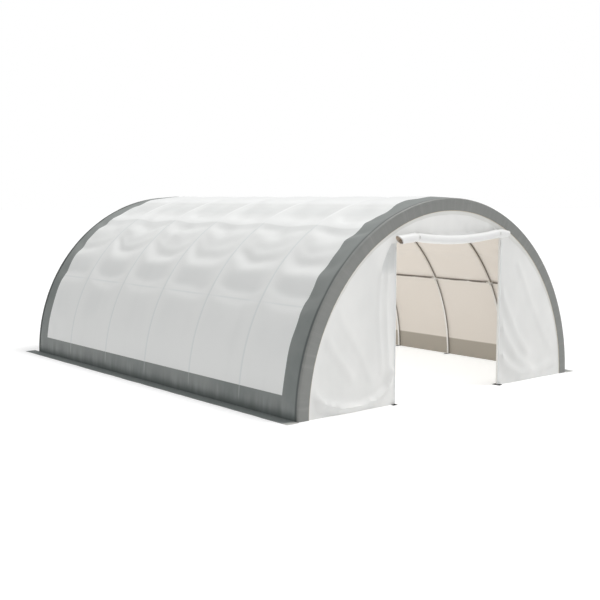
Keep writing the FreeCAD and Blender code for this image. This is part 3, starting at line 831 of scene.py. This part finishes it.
# %% Folds of the walls
FOLDS = (
    (0.030, 0.085, ((-4.32, 0.80), (-4.15, 0.50), (-3.92, 0.30), (-3.45, 0.15), (-2.95, 0.11),
                    (-2.4, 0.2), (-2.05, 0.42), (-1.90, 0.75))),
    (-0.006, 0.16, ((-4.1, 0.75), (-3.6, 0.42), (-2.9, 0.34), (-2.3, 0.5))),
    (0.010, 0.10, ((-4.05, 2.05), (-3.6, 1.35), (-3.1, 0.75))),
    (0.007, 0.09, ((-3.75, 2.6), (-3.3, 1.9), (-2.8, 1.2), (-2.5, 0.6))),
    (0.008, 0.05, ((-2.02, 3.3), (-2.06, 2.2), (-2.0, 0.9))),
    (0.006, 0.05, ((-2.25, 3.0), (-2.3, 2.0), (-2.2, 0.8))),
    (0.014, 0.11, ((1.86, 2.25), (2.1, 1.8), (2.5, 1.15), (2.9, 0.72))),
    (0.016, 0.11, ((1.86, 1.45), (2.1, 1.05), (2.5, 0.6), (3.0, 0.32))),
    (0.024, 0.11, ((1.88, 0.72), (2.15, 0.42), (2.6, 0.22), (3.3, 0.20), (4.0, 0.36))),
    (0.007, 0.10, ((2.5, 2.9), (2.9, 2.2), (3.5, 1.2), (3.9, 0.7))),
    (0.006, 0.10, ((-1.35, 3.66), (-1.32, 4.2))),
    (0.005, 0.09, ((-0.75, 3.66), (-0.7, 4.25))),
    (0.006, 0.12, ((-0.1, 3.66), (-0.05, 4.28))),
    (0.005, 0.10, ((0.55, 3.66), (0.6, 4.26))),
    (0.006, 0.10, ((1.2, 3.66), (1.28, 4.15))),
)
REAR_FOLDS = (
    (0.020, 0.10, ((-4.1, 0.9), (-3.5, 0.35), (-2.4, 0.16), (-0.8, 0.22), (0.6, 0.14), (2.2, 0.3),
                   (3.9, 0.7))),
    (0.008, 0.12, ((-3.4, 2.5), (-2.6, 1.4), (-1.6, 0.6))),
    (0.008, 0.12, ((3.3, 2.6), (2.5, 1.5), (1.7, 0.6))),
    (0.007, 0.09, ((-1.85, 3.7), (-1.9, 2.2), (-1.8, 0.8))),
    (0.007, 0.09, ((1.85, 3.7), (1.88, 2.2), (1.8, 0.8))),
    (0.006, 0.12, ((-0.6, 4.1), (-0.5, 2.8), (-0.6, 1.2))),
    (0.006, 0.12, ((0.7, 4.1), (0.8, 2.8), (0.7, 1.2))),
)
FOLD_GAIN = 3.0
HELD_RIM = 0.31  # the cloth lies flat this near to the arch
wall_ripple = ripples(51, 0.5, 2.0)


def far_from_line(x, z, line):
    """Distance to a line of points."""
    best = np.full(x.shape, 99.0)
    for (ax, az), (bx, bz) in zip(line, line[1:]):
        length = (bx - ax) ** 2 + (bz - az) ** 2
        t = np.clip(((x - ax) * (bx - ax) + (z - az) * (bz - az)) / length, 0, 1)
        best = np.minimum(best, np.hypot(x - ax - t * (bx - ax), z - az - t * (bz - az)))
    return best


def wall_lift(x, z, folds=FOLDS, waves=(0.012, 0.0, 0.8), doorway=True):
    """How far the wall stands out of its plane. Its waves have a height, a shift and a squeeze."""
    lift = waves[0] * wall_ripple(x + waves[1], z * waves[2])
    for height, width, line in folds:
        lift = lift + FOLD_GAIN * height * bell(far_from_line(x, z, line), width)
    held = ease((ARCH_OUT - HELD_RIM - np.hypot(x, z)) / 0.22)
    if doorway:
        beside = np.abs(x) - JAMB
        beside = np.where(z < DOOR_TOP, beside, np.maximum(z - DOOR_TOP, beside))
        held = held * ease((beside - 0.035) / 0.08)
    return np.maximum(lift, -0.004) * held


# %% Nets for the walls
WALL_OUT = ARCH_OUT - 0.046
JAMB_CELLS = 64
HEAD_CELLS = 64
WALL_RINGS = 46
jamb_z = np.linspace(WALL_FOOT, DOOR_TOP, JAMB_CELLS + 1)
head_x = np.linspace(-JAMB, JAMB, HEAD_CELLS + 1)


def wall_rings():
    """Rings from the doorway's outline to the arch, up the left side and down the right."""
    inner = ([(-JAMB, z) for z in jamb_z] + [(x, DOOR_TOP) for x in head_x[1:-1]]
             + [(JAMB, z) for z in jamb_z[::-1]])
    corner = math.atan2(DOOR_TOP, JAMB)
    side = np.linspace(math.asin(WALL_FOOT / WALL_OUT), corner, JAMB_CELLS + 1)
    head = np.linspace(corner, math.pi - corner, HEAD_CELLS + 1)
    angles = np.concatenate([math.pi - side, math.pi - head[1:-1], side[::-1]])
    outer = WALL_OUT * stack(np.cos(angles), np.sin(angles))
    outer[:, 1] = np.maximum(outer[:, 1], WALL_FOOT)
    share = np.linspace(0, 1, WALL_RINGS + 1)[None, :, None]
    return np.array(inner)[:, None, :] * (1 - share) + outer[:, None, :] * share


def make_wall(end, nodes):
    """One end wall, closed at the rear. The net's sides face outwards, away from the shelter."""
    sign, hoop = ENDS[end]
    plane = wall_rings()
    faces = net_faces(*plane.shape[:2])
    points = plane.reshape(-1, 2)
    if end == "rear":
        x, z = mesh_grid(head_x, jamb_z)
        faces = faces + net_faces(*x.shape, first=len(points))
        points = np.concatenate([points, stack(x, z).reshape(-1, 2)])
        lift = wall_lift(*points.T, REAR_FOLDS, (0.004, 9.0, 0.7), doorway=False)
    else:
        lift = wall_lift(*points.T)
        faces = [face[::-1] for face in faces]
    spots = stack(points[:, 0], sign * (WALL_FACE + lift), points[:, 1])
    piece = raw_sheet(f"{end}_wall_cloth", spots, faces, points, [white_wall, inner_cloth])
    own(piece, "shelter", "white_wall", *nodes)


make_wall("front", ["front_wall_left", "front_wall_right", "front_gable"])
make_wall("rear", ["rear_wall"])

# %% [markdown]
# ## Hem and corner patch
# Inside the grey band a second layer of cloth backs the wall's edge, where it is laced to the
# frame. Its darker colour is painted shade beside the band. It is wide at the top and right and
# runs out towards the left foot. A three-cornered sheet by the left jamb is painted darker than
# the wall, as painted shade, and fades out towards its foot.

# %% Hem strips
HEM_ANGLES = (0, 6, 40, 62, 90, 118, 140, 163, 180)
HEM_WIDTHS = (24, 34, 85, 120, 90, 74, 60, 12, 8)
HEM_LAP = 0.012
# The hem's darker colour is painted shade beside the grey band.
hem_shade_cloth = wall_finish("hem_shade_cloth", (0.70, 0.70, 0.675), (0.665, 0.665, 0.64))
hem_ripple = ripples(61, 0.12, 0.7)


def make_hem(end):
    sign, _ = ENDS[end]
    theta = np.linspace(0.3, 179.7, 281)[:, None]
    share = np.linspace(0, 1, 7)[None, :]
    arc = arc_length(theta, BAND_IN)
    width = soft_table(theta if sign < 0 else 180 - theta, HEM_ANGLES, HEM_WIDTHS) / 1000
    width = np.maximum(width + 0.008 * hem_ripple(arc, 0 * arc), 0.004)
    flat = on_arch(BAND_IN + HEM_LAP - (width + HEM_LAP) * share, theta, 0)
    x, z = flat[..., 0], np.maximum(flat[..., 2], WALL_FOOT)
    lift = wall_lift(x, z) if sign < 0 else wall_lift(x, z, REAR_FOLDS, (0.012, 9.0, 0.8))
    y = sign * (WALL_FACE + np.maximum(lift, 0) + 0.0032 - 0.0014 * share)
    piece = net_sheet(f"{end}_hem_strip", stack(x, y, z), stack(arc, width * share), [hem_shade_cloth],
                      0.0012, turned=sign < 0)
    own(piece, "shelter", "white_wall")
    area = float((width + HEM_LAP).mean() * math.pi * BAND_IN)


for end in ENDS:
    make_hem(end)

# %% Corner patch
# The patch is a sheet placed where the wall is in shade; its darker colour is painted shade.
PATCH = np.array([(-JAMB - 0.012, 3.585), (-1.93, 3.585), (-2.29, 2.82), (-JAMB - 0.012, 2.96)])
PATCH_BOW = 0.05
patch_shade_cloth = wall_finish("patch_shade_cloth", (0.665, 0.675, 0.665), (0.635, 0.645, 0.635),
                          fade=(2.86, 3.12))


def make_patch():
    s, t = mesh_grid(np.linspace(0, 1, 13), np.linspace(0, 1, 21))
    s, t = s[..., None], t[..., None]
    top = PATCH[0] * (1 - s) + PATCH[1] * s
    foot = PATCH[3] * (1 - s) + PATCH[2] * s
    plane = top * (1 - t) + foot * t
    x = plane[..., 0] - PATCH_BOW * (s * np.sin(math.pi * t))[..., 0]
    z = plane[..., 1]
    net = stack(x, -(WALL_FACE + np.maximum(wall_lift(x, z), 0) + 0.0014), z)
    piece = net_sheet("corner_patch", net, plane, [patch_shade_cloth], 0.001, turned=True)
    own(piece, "shelter", "white_wall")


make_patch()

# %% Sleeves on the door posts
SLEEVE_GAP = 0.004


def make_sleeve(side):
    """A white pocket of the wall cloth, sewn round the post behind the jamb."""
    low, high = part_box(f"front_post_{side}")
    west, east = low.x - SLEEVE_GAP, high.x + SLEEVE_GAP
    front, back = -WALL_FACE + FABRIC + 0.001, high.y + SLEEVE_GAP
    places, z = mesh_grid(np.linspace(0, 3, 31), np.linspace(low.z + 0.03, DOOR_TOP - 0.01, 61))
    x = np.interp(places, range(4), (east, east, west, west))
    y = np.interp(places, range(4), (front, back, back, front))
    bulge = 0.0012 * (1 + wall_ripple(z * 0.8, 6 + 2 * places))
    net = stack(x, y + np.sin(math.pi * places / 3) * bulge, z)
    piece = net_sheet(f"post_sleeve_{side}", net, stack(0.06 * places, z), [white_wall], 0.001)
    own(piece, "shelter", "white_wall")
    2 * (back - front) + east - west


for side in ("left", "right"):
    make_sleeve(side)

# %% [markdown]
# ## The rolled door
# The door is one sheet, rolled up from its foot and tied under the arch. A solid roller would look
# like a pipe, so the roll here is the true sheet: a spiral of seven turns, loose inside, drawn in
# by its two ties and sagging between them. Its left end is skewed and open, so the layers and the
# warm inner face show there.

# %% The line the roll hangs in
ROLL_LOW, ROLL_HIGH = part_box("door_roll")
ROLL_Y = (ROLL_LOW.y + ROLL_HIGH.y) / 2
ROLL_RADIUS = (ROLL_HIGH.y - ROLL_LOW.y) / 2
ROLL_LEFT_Z = 3.66
TIES = {}
for side in ("left", "right"):
    tie_low, tie_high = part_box(f"door_tie_{side}")
    TIES[side] = ((tie_low.x + tie_high.x) / 2, (tie_low.z + tie_high.z) / 2)
ROLL_MIDDLE_Z = ROLL_LOW.z + ROLL_RADIUS
TURN_RADII = (1.0, 0.985, 0.97, 0.95, 0.93, 0.68, 0.62, 0.30)
PINCH = 0.15
STRAP_REACH = ROLL_RADIUS * (1 - PINCH + 0.022)
roll_ripple = ripples(71, 0.25, 0.9)


def roll_height(x):
    """The height of the roll's axis."""
    (left, left_z), (right, right_z) = TIES["left"], TIES["right"]
    t = (x - left) / (right - left)
    sag = (left_z + right_z) / 2 - ROLL_MIDDLE_Z
    z = left_z + (right_z - left_z) * t - 4 * sag * t * (1 - t)
    z = np.where(x > right, right_z - 0.05 * (x - right), z)
    droop = np.clip((left - x) / (left - ROLL_LOW.x), 0, 1.2)
    return np.where(x < left, left_z - (left_z - ROLL_LEFT_Z) * droop ** 1.3, z)


def roll_share(turn, x):
    """The roll's outline as a share of its radius: drawn in at the ties, puffed beside them."""
    share = 1 + 0.009 * roll_ripple(turn * 0.16, x)
    for (tie_x, _), phase in zip(TIES.values(), (0.4, 2.1)):
        gap = np.abs(x - tie_x)
        wrinkle = 0.045 * np.cos(6 * turn + phase) * np.exp(-gap / 0.10) * (1 - bell(gap, 0.02))
        share = share - PINCH * bell(gap, 0.045) + 0.03 * bell(gap - 0.17, 0.09) + wrinkle
    return share - 0.22 * ease((x - ROLL_HIGH.x + 0.22) / 0.22)


def squash_with_door(piece):
    """Gives a piece of the roll its own copy of its mesh."""
    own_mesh(piece)


# %% Roll
ROLL_STEPS = 25
ROLL_CELLS = 84
DOOR_THICK = 0.002

# The inner face glows faintly warm: painted light standing for daylight through the layers.
roll_inner_glow = Finish("roll_inner_glow", Roughness=0.7, Emission_Color=(0.60, 0.46, 0.34, 1.0),
                    Emission_Strength=0.06)
inner_tone = roll_inner_glow.noise(roll_inner_glow.place(), 9.0)
roll_inner_glow.coat(roll_inner_glow.mix(inner_tone, (0.52, 0.42, 0.32), (0.40, 0.31, 0.23)))
roll_inner_glow.bump(inner_tone, 0.3, 0.002)
door_white = wall_finish("white_door", (0.80, 0.80, 0.792), (0.765, 0.767, 0.76))


def make_roll():
    last = len(TURN_RADII) - 1
    turns = np.linspace(0, last, ROLL_STEPS * last + 1)[:, None]
    across = np.linspace(0, 1, ROLL_CELLS + 1)
    radius = ROLL_RADIUS * np.interp(turns, range(last + 1), TURN_RADII)
    angle = 2 * math.pi * turns
    uneven = 1 + 0.10 * ease((turns - 4) / 2) * np.sin(angle * 0.73 + 1.0)
    rise = -np.sin(angle) * radius
    start = ROLL_LOW.x + 0.04 - 0.75 * rise + 0.006 * np.sin(3.1 * turns) + 0.003 * turns
    x = start * (1 - across) + (ROLL_HIGH.x - 0.003 * turns + 0.12 * rise) * across
    reach = radius * uneven * roll_share(angle % (2 * math.pi), x)
    net = stack(x, ROLL_Y + reach * np.cos(angle), roll_height(x) - reach * np.sin(angle))
    length = np.concatenate([[0], np.cumsum(radius[1:, 0] * np.diff(angle[:, 0]))])
    piece = net_sheet("door_roll_cloth", net, stack(length[:, None], x), [door_white, roll_inner_glow],
                      DOOR_THICK)
    own(piece, "rolled_door", "white_door", "door_roll")
    squash_with_door(piece)


make_roll()

# %% [markdown]
# ## The free stretch of the door
# Between its top seam and the roll, the door hangs as a short free curtain. When the door is let
# down this stretch becomes the whole door. Its many rows spread over the whole height.

# %% Curtain
CURTAIN_LOW, CURTAIN_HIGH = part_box("door_curtain")
CURTAIN_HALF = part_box("zip_tape_right")[0].x - 0.003
DOOR_LENGTH = 3.6
curtain_ripple = ripples(81, 0.3, 0.9)


def make_curtain():
    x, t = mesh_grid(np.linspace(-CURTAIN_HALF, CURTAIN_HALF, 91), np.linspace(0, 1, 61))
    z = CURTAIN_HIGH.z + (CURTAIN_LOW.z - 0.004 - CURTAIN_HIGH.z) * t
    behind = ROLL_RADIUS * roll_share(0.0, x) + 0.004
    roll_back = ROLL_Y + np.sqrt(np.maximum(behind ** 2 - (z - roll_height(x)) ** 2, 0))
    slack = 0.003 * t * (1 + curtain_ripple(x, 0 * x))
    hang = CURTAIN_LOW.y - 0.0025 - 0.018 * ease(t) - slack
    y = np.minimum(np.maximum(hang, roll_back), CURTAIN_LOW.y - 0.0012)
    return net_sheet("door_curtain_cloth", stack(x, y, z), stack(x, t * DOOR_LENGTH),
                     [door_white, inner_cloth], DOOR_THICK)


curtain = make_curtain()
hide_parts("door_curtain")
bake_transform(curtain)

# %% [markdown]
# ## Ties and tabs
# Two webbing straps hold the roll. Each is a flat loop drawn tight, closed by a toggle at the
# front, and a tab sewn to the wall carries it.

# %% Webbing finish
def plain_finish(name, roughness, light, dark, scale, **shader):
    """Two close tones, for small pieces."""
    finish = Finish(name, Roughness=roughness, **shader)
    tone = finish.noise(finish.place(), scale)
    finish.coat(finish.mix(tone, light, dark))
    return finish, tone


webbing, web_tone = plain_finish("webbing", 0.7, (0.80, 0.80, 0.78), (0.70, 0.70, 0.68), 30.0)
ribs = webbing.split(webbing.cloth_map())[0].wave(0.003)
webbing.bump(ribs * 0.5 + web_tone, 0.5, 0.001)
toggle_plastic, toggle_tone = plain_finish("toggle_plastic", 0.35, (0.62, 0.62, 0.60),
                                           (0.52, 0.52, 0.50), 60.0)
toggle_plastic.bump(toggle_tone, 0.3, 0.0006)


# %% Straps and toggles
STRAP_WIDE = 0.034
WEB_THICK = 0.0016
TOGGLE_RADIUS = 0.0075
TOGGLE_LONG = 0.066
WAIST = 0.009


def hard_piece(add, scale=(1, 1, 1), **values):
    """A primitive in its place, with its scale applied."""
    bpy.ops.object.select_all(action="DESELECT")
    add(**values)
    piece = bpy.context.object
    piece.scale = scale
    bpy.ops.object.transform_apply(location=True, rotation=True, scale=True)
    return piece


def bevel(piece, width, segments, **settings):
    rounding = piece.modifiers.new("rounding", "BEVEL")
    rounding.width, rounding.segments = width, segments
    for name, value in settings.items():
        setattr(rounding, name, value)
    apply_all(piece)


def make_strap(side):
    tie_x, tie_z = TIES[side]
    wide, angle = mesh_grid(np.linspace(STRAP_WIDE / 2, -STRAP_WIDE / 2, 5),
                            np.linspace(0, 2 * math.pi, 61)[:-1])
    net = stack(tie_x + wide, ROLL_Y + STRAP_REACH * np.cos(angle),
                tie_z - STRAP_REACH * np.sin(angle))
    piece = net_sheet(f"tie_strap_{side}", net, stack(angle * ROLL_RADIUS, wide), [webbing],
                      WEB_THICK, loop=True)
    own(piece, "rolled_door", "webbing", f"door_tie_{side}")
    squash_with_door(piece)


def make_toggle(side):
    """A turned toggle across the strap, with a waist where the strap holds it."""
    tie_x, tie_z = TIES[side]
    place = (tie_x, ROLL_Y - STRAP_REACH - 0.0085, tie_z)
    piece = hard_piece(bpy.ops.mesh.primitive_cylinder_add, vertices=24, radius=TOGGLE_RADIUS,
                       depth=TOGGLE_LONG, end_fill_type="NGON", location=place)
    piece.name = f"tie_toggle_{side}"
    for step in (WAIST, -WAIST, 0.0):
        edit(piece, bpy.ops.mesh.bisect, plane_co=(tie_x, 0, tie_z + step), plane_no=(0, 0, 1))
    edit(piece, bpy.ops.transform.resize, points=lambda point: abs(point.co.z - tie_z) < 0.001,
         value=(0.7, 0.7, 1.0), center_override=place)
    bevel(piece, 0.003, 3, angle_limit=math.radians(50))
    bpy.ops.object.shade_smooth_by_angle(angle=math.radians(40))
    piece.data.materials.append(toggle_plastic.material)
    own(piece, "rolled_door", "webbing")
    squash_with_door(piece)


for side in TIES:
    make_strap(side)
    make_toggle(side)
print("strap reach", round(STRAP_REACH, 4))

# %% Tabs on the wall
TAB_WIDE = 0.03
TAB_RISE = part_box("tie_tabs")[1].z - TIES["right"][1]


def ribbon(path, centre_x):
    """A strap's net along a path of y and z, with its corners cut twice, and its map."""
    path = np.array(path, float)
    for _ in range(2):
        cut = [path[0]]
        for a, b in zip(path, path[1:]):
            cut += [a * 0.75 + b * 0.25, a * 0.25 + b * 0.75]
        path = np.array(cut + [path[-1]])
    length = np.concatenate([[0], np.cumsum(np.hypot(*np.diff(path, axis=0).T))])[:, None]
    x = centre_x + TAB_WIDE * np.linspace(-0.5, 0.5, 4)
    return stack(x, path[:, :1], path[:, 1:]), stack(length, x)


tabs = []
for side, (tie_x, tie_z) in TIES.items():
    top, sewn = tie_z + TAB_RISE, -WALL_FACE - 0.0025
    roof = tie_z + STRAP_REACH + 0.0035
    net, cloth_map = ribbon([(sewn, top), (sewn, top - 0.05), (-WALL_FACE - 0.012, roof + 0.03),
                             (ROLL_Y + 0.075, roof + 0.002), (ROLL_Y + 0.03, roof + 0.001),
                             (ROLL_Y, roof)], tie_x)
    tabs.append(net_sheet(f"tie_tab_{side}", net, cloth_map, [webbing], WEB_THICK, turned=True))
own(join_pieces(tabs, "tie_tab_straps"), "shelter", "webbing", "tie_tabs")

# %% [markdown]
# ## Zips
# A heavy zip runs up each jamb. Its tape is a narrow strip, its chain is one small tooth repeated
# up the tape, and its slider is a bevelled metal body with a bridge and a pull.

# %% Zip finishes
def metal_finish(name, bright, dull, roughness, spangle, metallic=0.85):
    """Zinc-coated steel: grey crystals of two tones, rougher where it has dulled."""
    finish = Finish(name, Metallic=metallic)
    place = finish.place()
    crystals = finish.node("ShaderNodeTexVoronoi", {"Vector": place, "Scale": spangle})
    cloud = finish.noise(place, 2.2, 4.0)
    tone = crystals * 0.5 + cloud * 0.6
    finish.coat(finish.mix(tone.rise(0.25, 0.75), bright, dull), cloud, 0.22, roughness - 0.1)
    finish.bump(finish.noise(place, 140.0), 0.15, 0.0008)
    return finish


zip_cloth = Finish("zip_tape", Roughness=0.55)
zip_place = zip_cloth.place()
zip_cloth.coat(zip_cloth.mix(zip_cloth.noise(zip_place, 3.0, 4.0), (0.80, 0.802, 0.794),
                             (0.77, 0.772, 0.764)))
zip_cloth.bump(zip_cloth.noise(zip_place, (260.0, 260.0, 90.0), 2.0), 0.25, 0.0006)
zip_metal = metal_finish("zip_slider", (0.80, 0.80, 0.79), (0.66, 0.66, 0.65), 0.4, 300.0, 0.2)
tooth_plastic = Finish("zip_teeth", Roughness=0.35)
tooth_plastic.coat(tooth_plastic.mix(tooth_plastic.noise(tooth_plastic.place(), 40.0, 2.0),
                                     (0.74, 0.77, 0.77), (0.66, 0.70, 0.70)))

# %% Tape and teeth
TOOTH_PITCH = 0.008
TOOTH = (0.0085, 0.0034, 0.0034)
TAPE_THICK = 0.0016


def faces_front(face):
    return face.normal.y < -0.9


def make_tooth_row(centre_x, first_z, front, count):
    """One tooth with a raised front, repeated up the tape by an array."""
    row = hard_piece(bpy.ops.mesh.primitive_cube_add, TOOTH, size=1.0,
                     location=(centre_x, front, first_z))
    edit(row, bpy.ops.mesh.inset, faces=faces_front, thickness=0.0008, depth=0.0006)
    array = row.modifiers.new("teeth", "ARRAY")
    array.use_relative_offset = False
    array.use_constant_offset = True
    array.constant_offset_displace = (0, 0, TOOTH_PITCH)
    array.count = count
    apply_all(row)
    row.data.materials.append(tooth_plastic.material)
    return row


def make_zip_tape(side):
    low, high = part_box(f"zip_tape_{side}")
    middle = (low.x + high.x) / 2
    tape = hard_piece(bpy.ops.mesh.primitive_grid_add, (high.x - low.x, high.z - low.z, 1.0),
                      x_subdivisions=4, y_subdivisions=60, size=1.0, rotation=(math.pi / 2, 0, 0),
                      location=(middle, high.y - 0.0003, (low.z + high.z) / 2))
    tape.name = f"zip_tape_{side}_cloth"
    edit(tape, bpy.ops.mesh.extrude_region_move,
         TRANSFORM_OT_translate={"value": (0, -TAPE_THICK, 0)})
    edit(tape, bpy.ops.mesh.normals_make_consistent, inside=False)
    tape.data.materials.append(zip_cloth.material)
    count = int((high.z - low.z) / TOOTH_PITCH) - 1
    rows = [make_tooth_row(middle + shift, low.z + TOOTH_PITCH * pitches, high.y - 0.0034, count)
            for shift, pitches in ((-0.003, 0.5), (0.003, 1.0))]
    own(tape, "shelter", "zip_tape", f"zip_tape_{side}")
    own(join_pieces(rows, f"zip_teeth_{side}"), "shelter", "zip_tape")


for side in ("left", "right"):
    make_zip_tape(side)

# %% Slider
BODY_LONG = 0.048


def make_slider(side):
    """The slider: a waisted body, a bridge over it, and a flat pull."""
    low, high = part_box(f"zip_slider_{side}")
    middle = (low.x + high.x) / 2
    foot = high.z - BODY_LONG
    cube = bpy.ops.mesh.primitive_cube_add
    body = hard_piece(cube, (high.x - low.x, 0.0070, BODY_LONG), size=1.0,
                      location=(middle, high.y - 0.0042, (foot + high.z) / 2))
    edit(body, bpy.ops.mesh.bisect, plane_co=(0, 0, foot + 0.014), plane_no=(0, 0, 1))
    edit(body, bpy.ops.transform.resize, points=lambda point: point.co.z < foot + 0.001,
         value=(0.62, 1.0, 1.0), center_override=(middle, 0, foot))
    edit(body, bpy.ops.mesh.inset, faces=faces_front, thickness=0.004, depth=-0.001)
    bevel(body, 0.0012, 2)
    bridge = hard_piece(bpy.ops.mesh.primitive_torus_add, (1.6, 0.35, 1.0), major_radius=0.009,
                        minor_radius=0.0015, major_segments=24, minor_segments=8,
                        location=(middle, high.y - 0.0068, foot + 0.018),
                        rotation=(0, math.pi / 2, 0))
    pull = hard_piece(cube, (0.010, 0.0022, foot - low.z + 0.002), size=1.0,
                      location=(middle, high.y - 0.0098, (low.z + foot) / 2 + 0.008))
    edit(pull, bpy.ops.mesh.subdivide, number_cuts=3)
    edit(pull, bpy.ops.transform.resize, points=lambda point: point.co.z < low.z + 0.012,
         value=(1.5, 1.3, 1.0), center_override=(middle, high.y - 0.0098, low.z))
    bevel(pull, 0.0006, 2, limit_method="ANGLE")
    slider = join_pieces([body, bridge, pull], f"zip_slider_{side}_body")
    slider.data.materials.clear()
    slider.data.materials.append(zip_metal.material)
    bpy.ops.object.shade_smooth_by_angle(angle=math.radians(35))
    own(slider, f"{side}_slider", "zip_slider", f"zip_slider_{side}")
    print(slider.name, len(slider.data.polygons), "faces")


for side in ("left", "right"):
    make_slider(side)

# %% [markdown]
# ## Finishes for the steel
# The CAD's tubes, joints, plates and screws already have their true shapes, so they only get
# finishes: galvanised steel for tubes, with painted shade higher up and on the hoops' outer side,
# a brighter cast look for the joints, zinc for screws, and black paint for the feet. The hem cords
# are a warm braided line.

# %% Steel, screws, feet and cord
HOOP_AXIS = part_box("hoop_1")[1].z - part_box("hoop_4")[1].y


def tube_finish(name, shade_from, shade_to, shaded_outer_side):
    """Galvanised tube, bright low down, with painted brown shade higher up and on the hoops' outer
    side.
    """
    finish = Finish(name, Metallic=0.25)
    place = finish.place()
    x, y, z = finish.split(place)
    cloud = finish.noise(place, 2.2, 4.0)
    base = finish.mix(cloud, (0.90, 0.90, 0.88), (0.80, 0.80, 0.78))
    # Painted shade from a given height up: brown on hoops and posts, dark brown on purlins.
    dull = (z + cloud * 0.1).rise(shade_from, shade_to)
    shade = dull * 0.9
    if shaded_outer_side:
        base = finish.mix(dull * 0.75, base, (0.50, 0.45, 0.39))
        # Painted shade on the hoops' outer side, where they lie against the cover.
        shade = finish.maths("SQRT", x * x + z * z).rise(HOOP_AXIS - 0.012, HOOP_AXIS - 0.002, 0.9)
    finish.coat(finish.mix(shade, base, (0.13, 0.11, 0.09)), cloud, 0.2, 0.4)
    finish.bump(finish.noise(place, 140.0), 0.15, 0.0008)
    return finish


dark_foot = Finish("dark_foot", Specular_IOR_Level=0.0)
dust = dark_foot.noise(dark_foot.place(), 18.0, 5.0)
dark_foot.coat(dark_foot.mix(dust.rise(0.45, 0.75, 0.5), (0.012, 0.012, 0.013),
                             (0.05, 0.046, 0.04)), dust, 0.2, 0.7)
dark_foot.bump(dust, 0.3, 0.001)
hem_cord = Finish("hem_cord", Roughness=0.75)
strands = hem_cord.noise(hem_cord.place(), 90.0, 2.0)
hem_cord.coat(hem_cord.mix(strands, (0.70, 0.62, 0.50), (0.55, 0.44, 0.31)))
hem_cord.bump(strands, 0.6, 0.0015)
NODE_FINISHES = (
    (("hoop_screws", "purlin_screws", "foot_screws", "post_screws"),
     metal_finish("zinc_screw", (0.62, 0.62, 0.60), (0.45, 0.45, 0.44), 0.3, 200.0)),
    (("cross_joints", "post_clamps", "header_tees"),
     metal_finish("galvanised_joint", (0.72, 0.71, 0.68), (0.55, 0.54, 0.51), 0.45, 60.0)),
    (("foot_plates", "post_feet"), dark_foot),
    (("hem_cord",), hem_cord),
    (("purlin_",), tube_finish("galvanised_purlin", 2.27, 2.32, False)),
    (("hoop_", "front_post", "rear_post", "front_header", "rear_header"),
     tube_finish("galvanised_tube", 1.3, 2.9, True)),
)
for node_name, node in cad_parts.items():
    for starts, finish in NODE_FINISHES:
        if node_name.startswith(starts):
            node.data.materials.clear()
            node.data.materials.append(finish.material)
            break
print("finishes for", len(NODE_FINISHES), "kinds of CAD node")
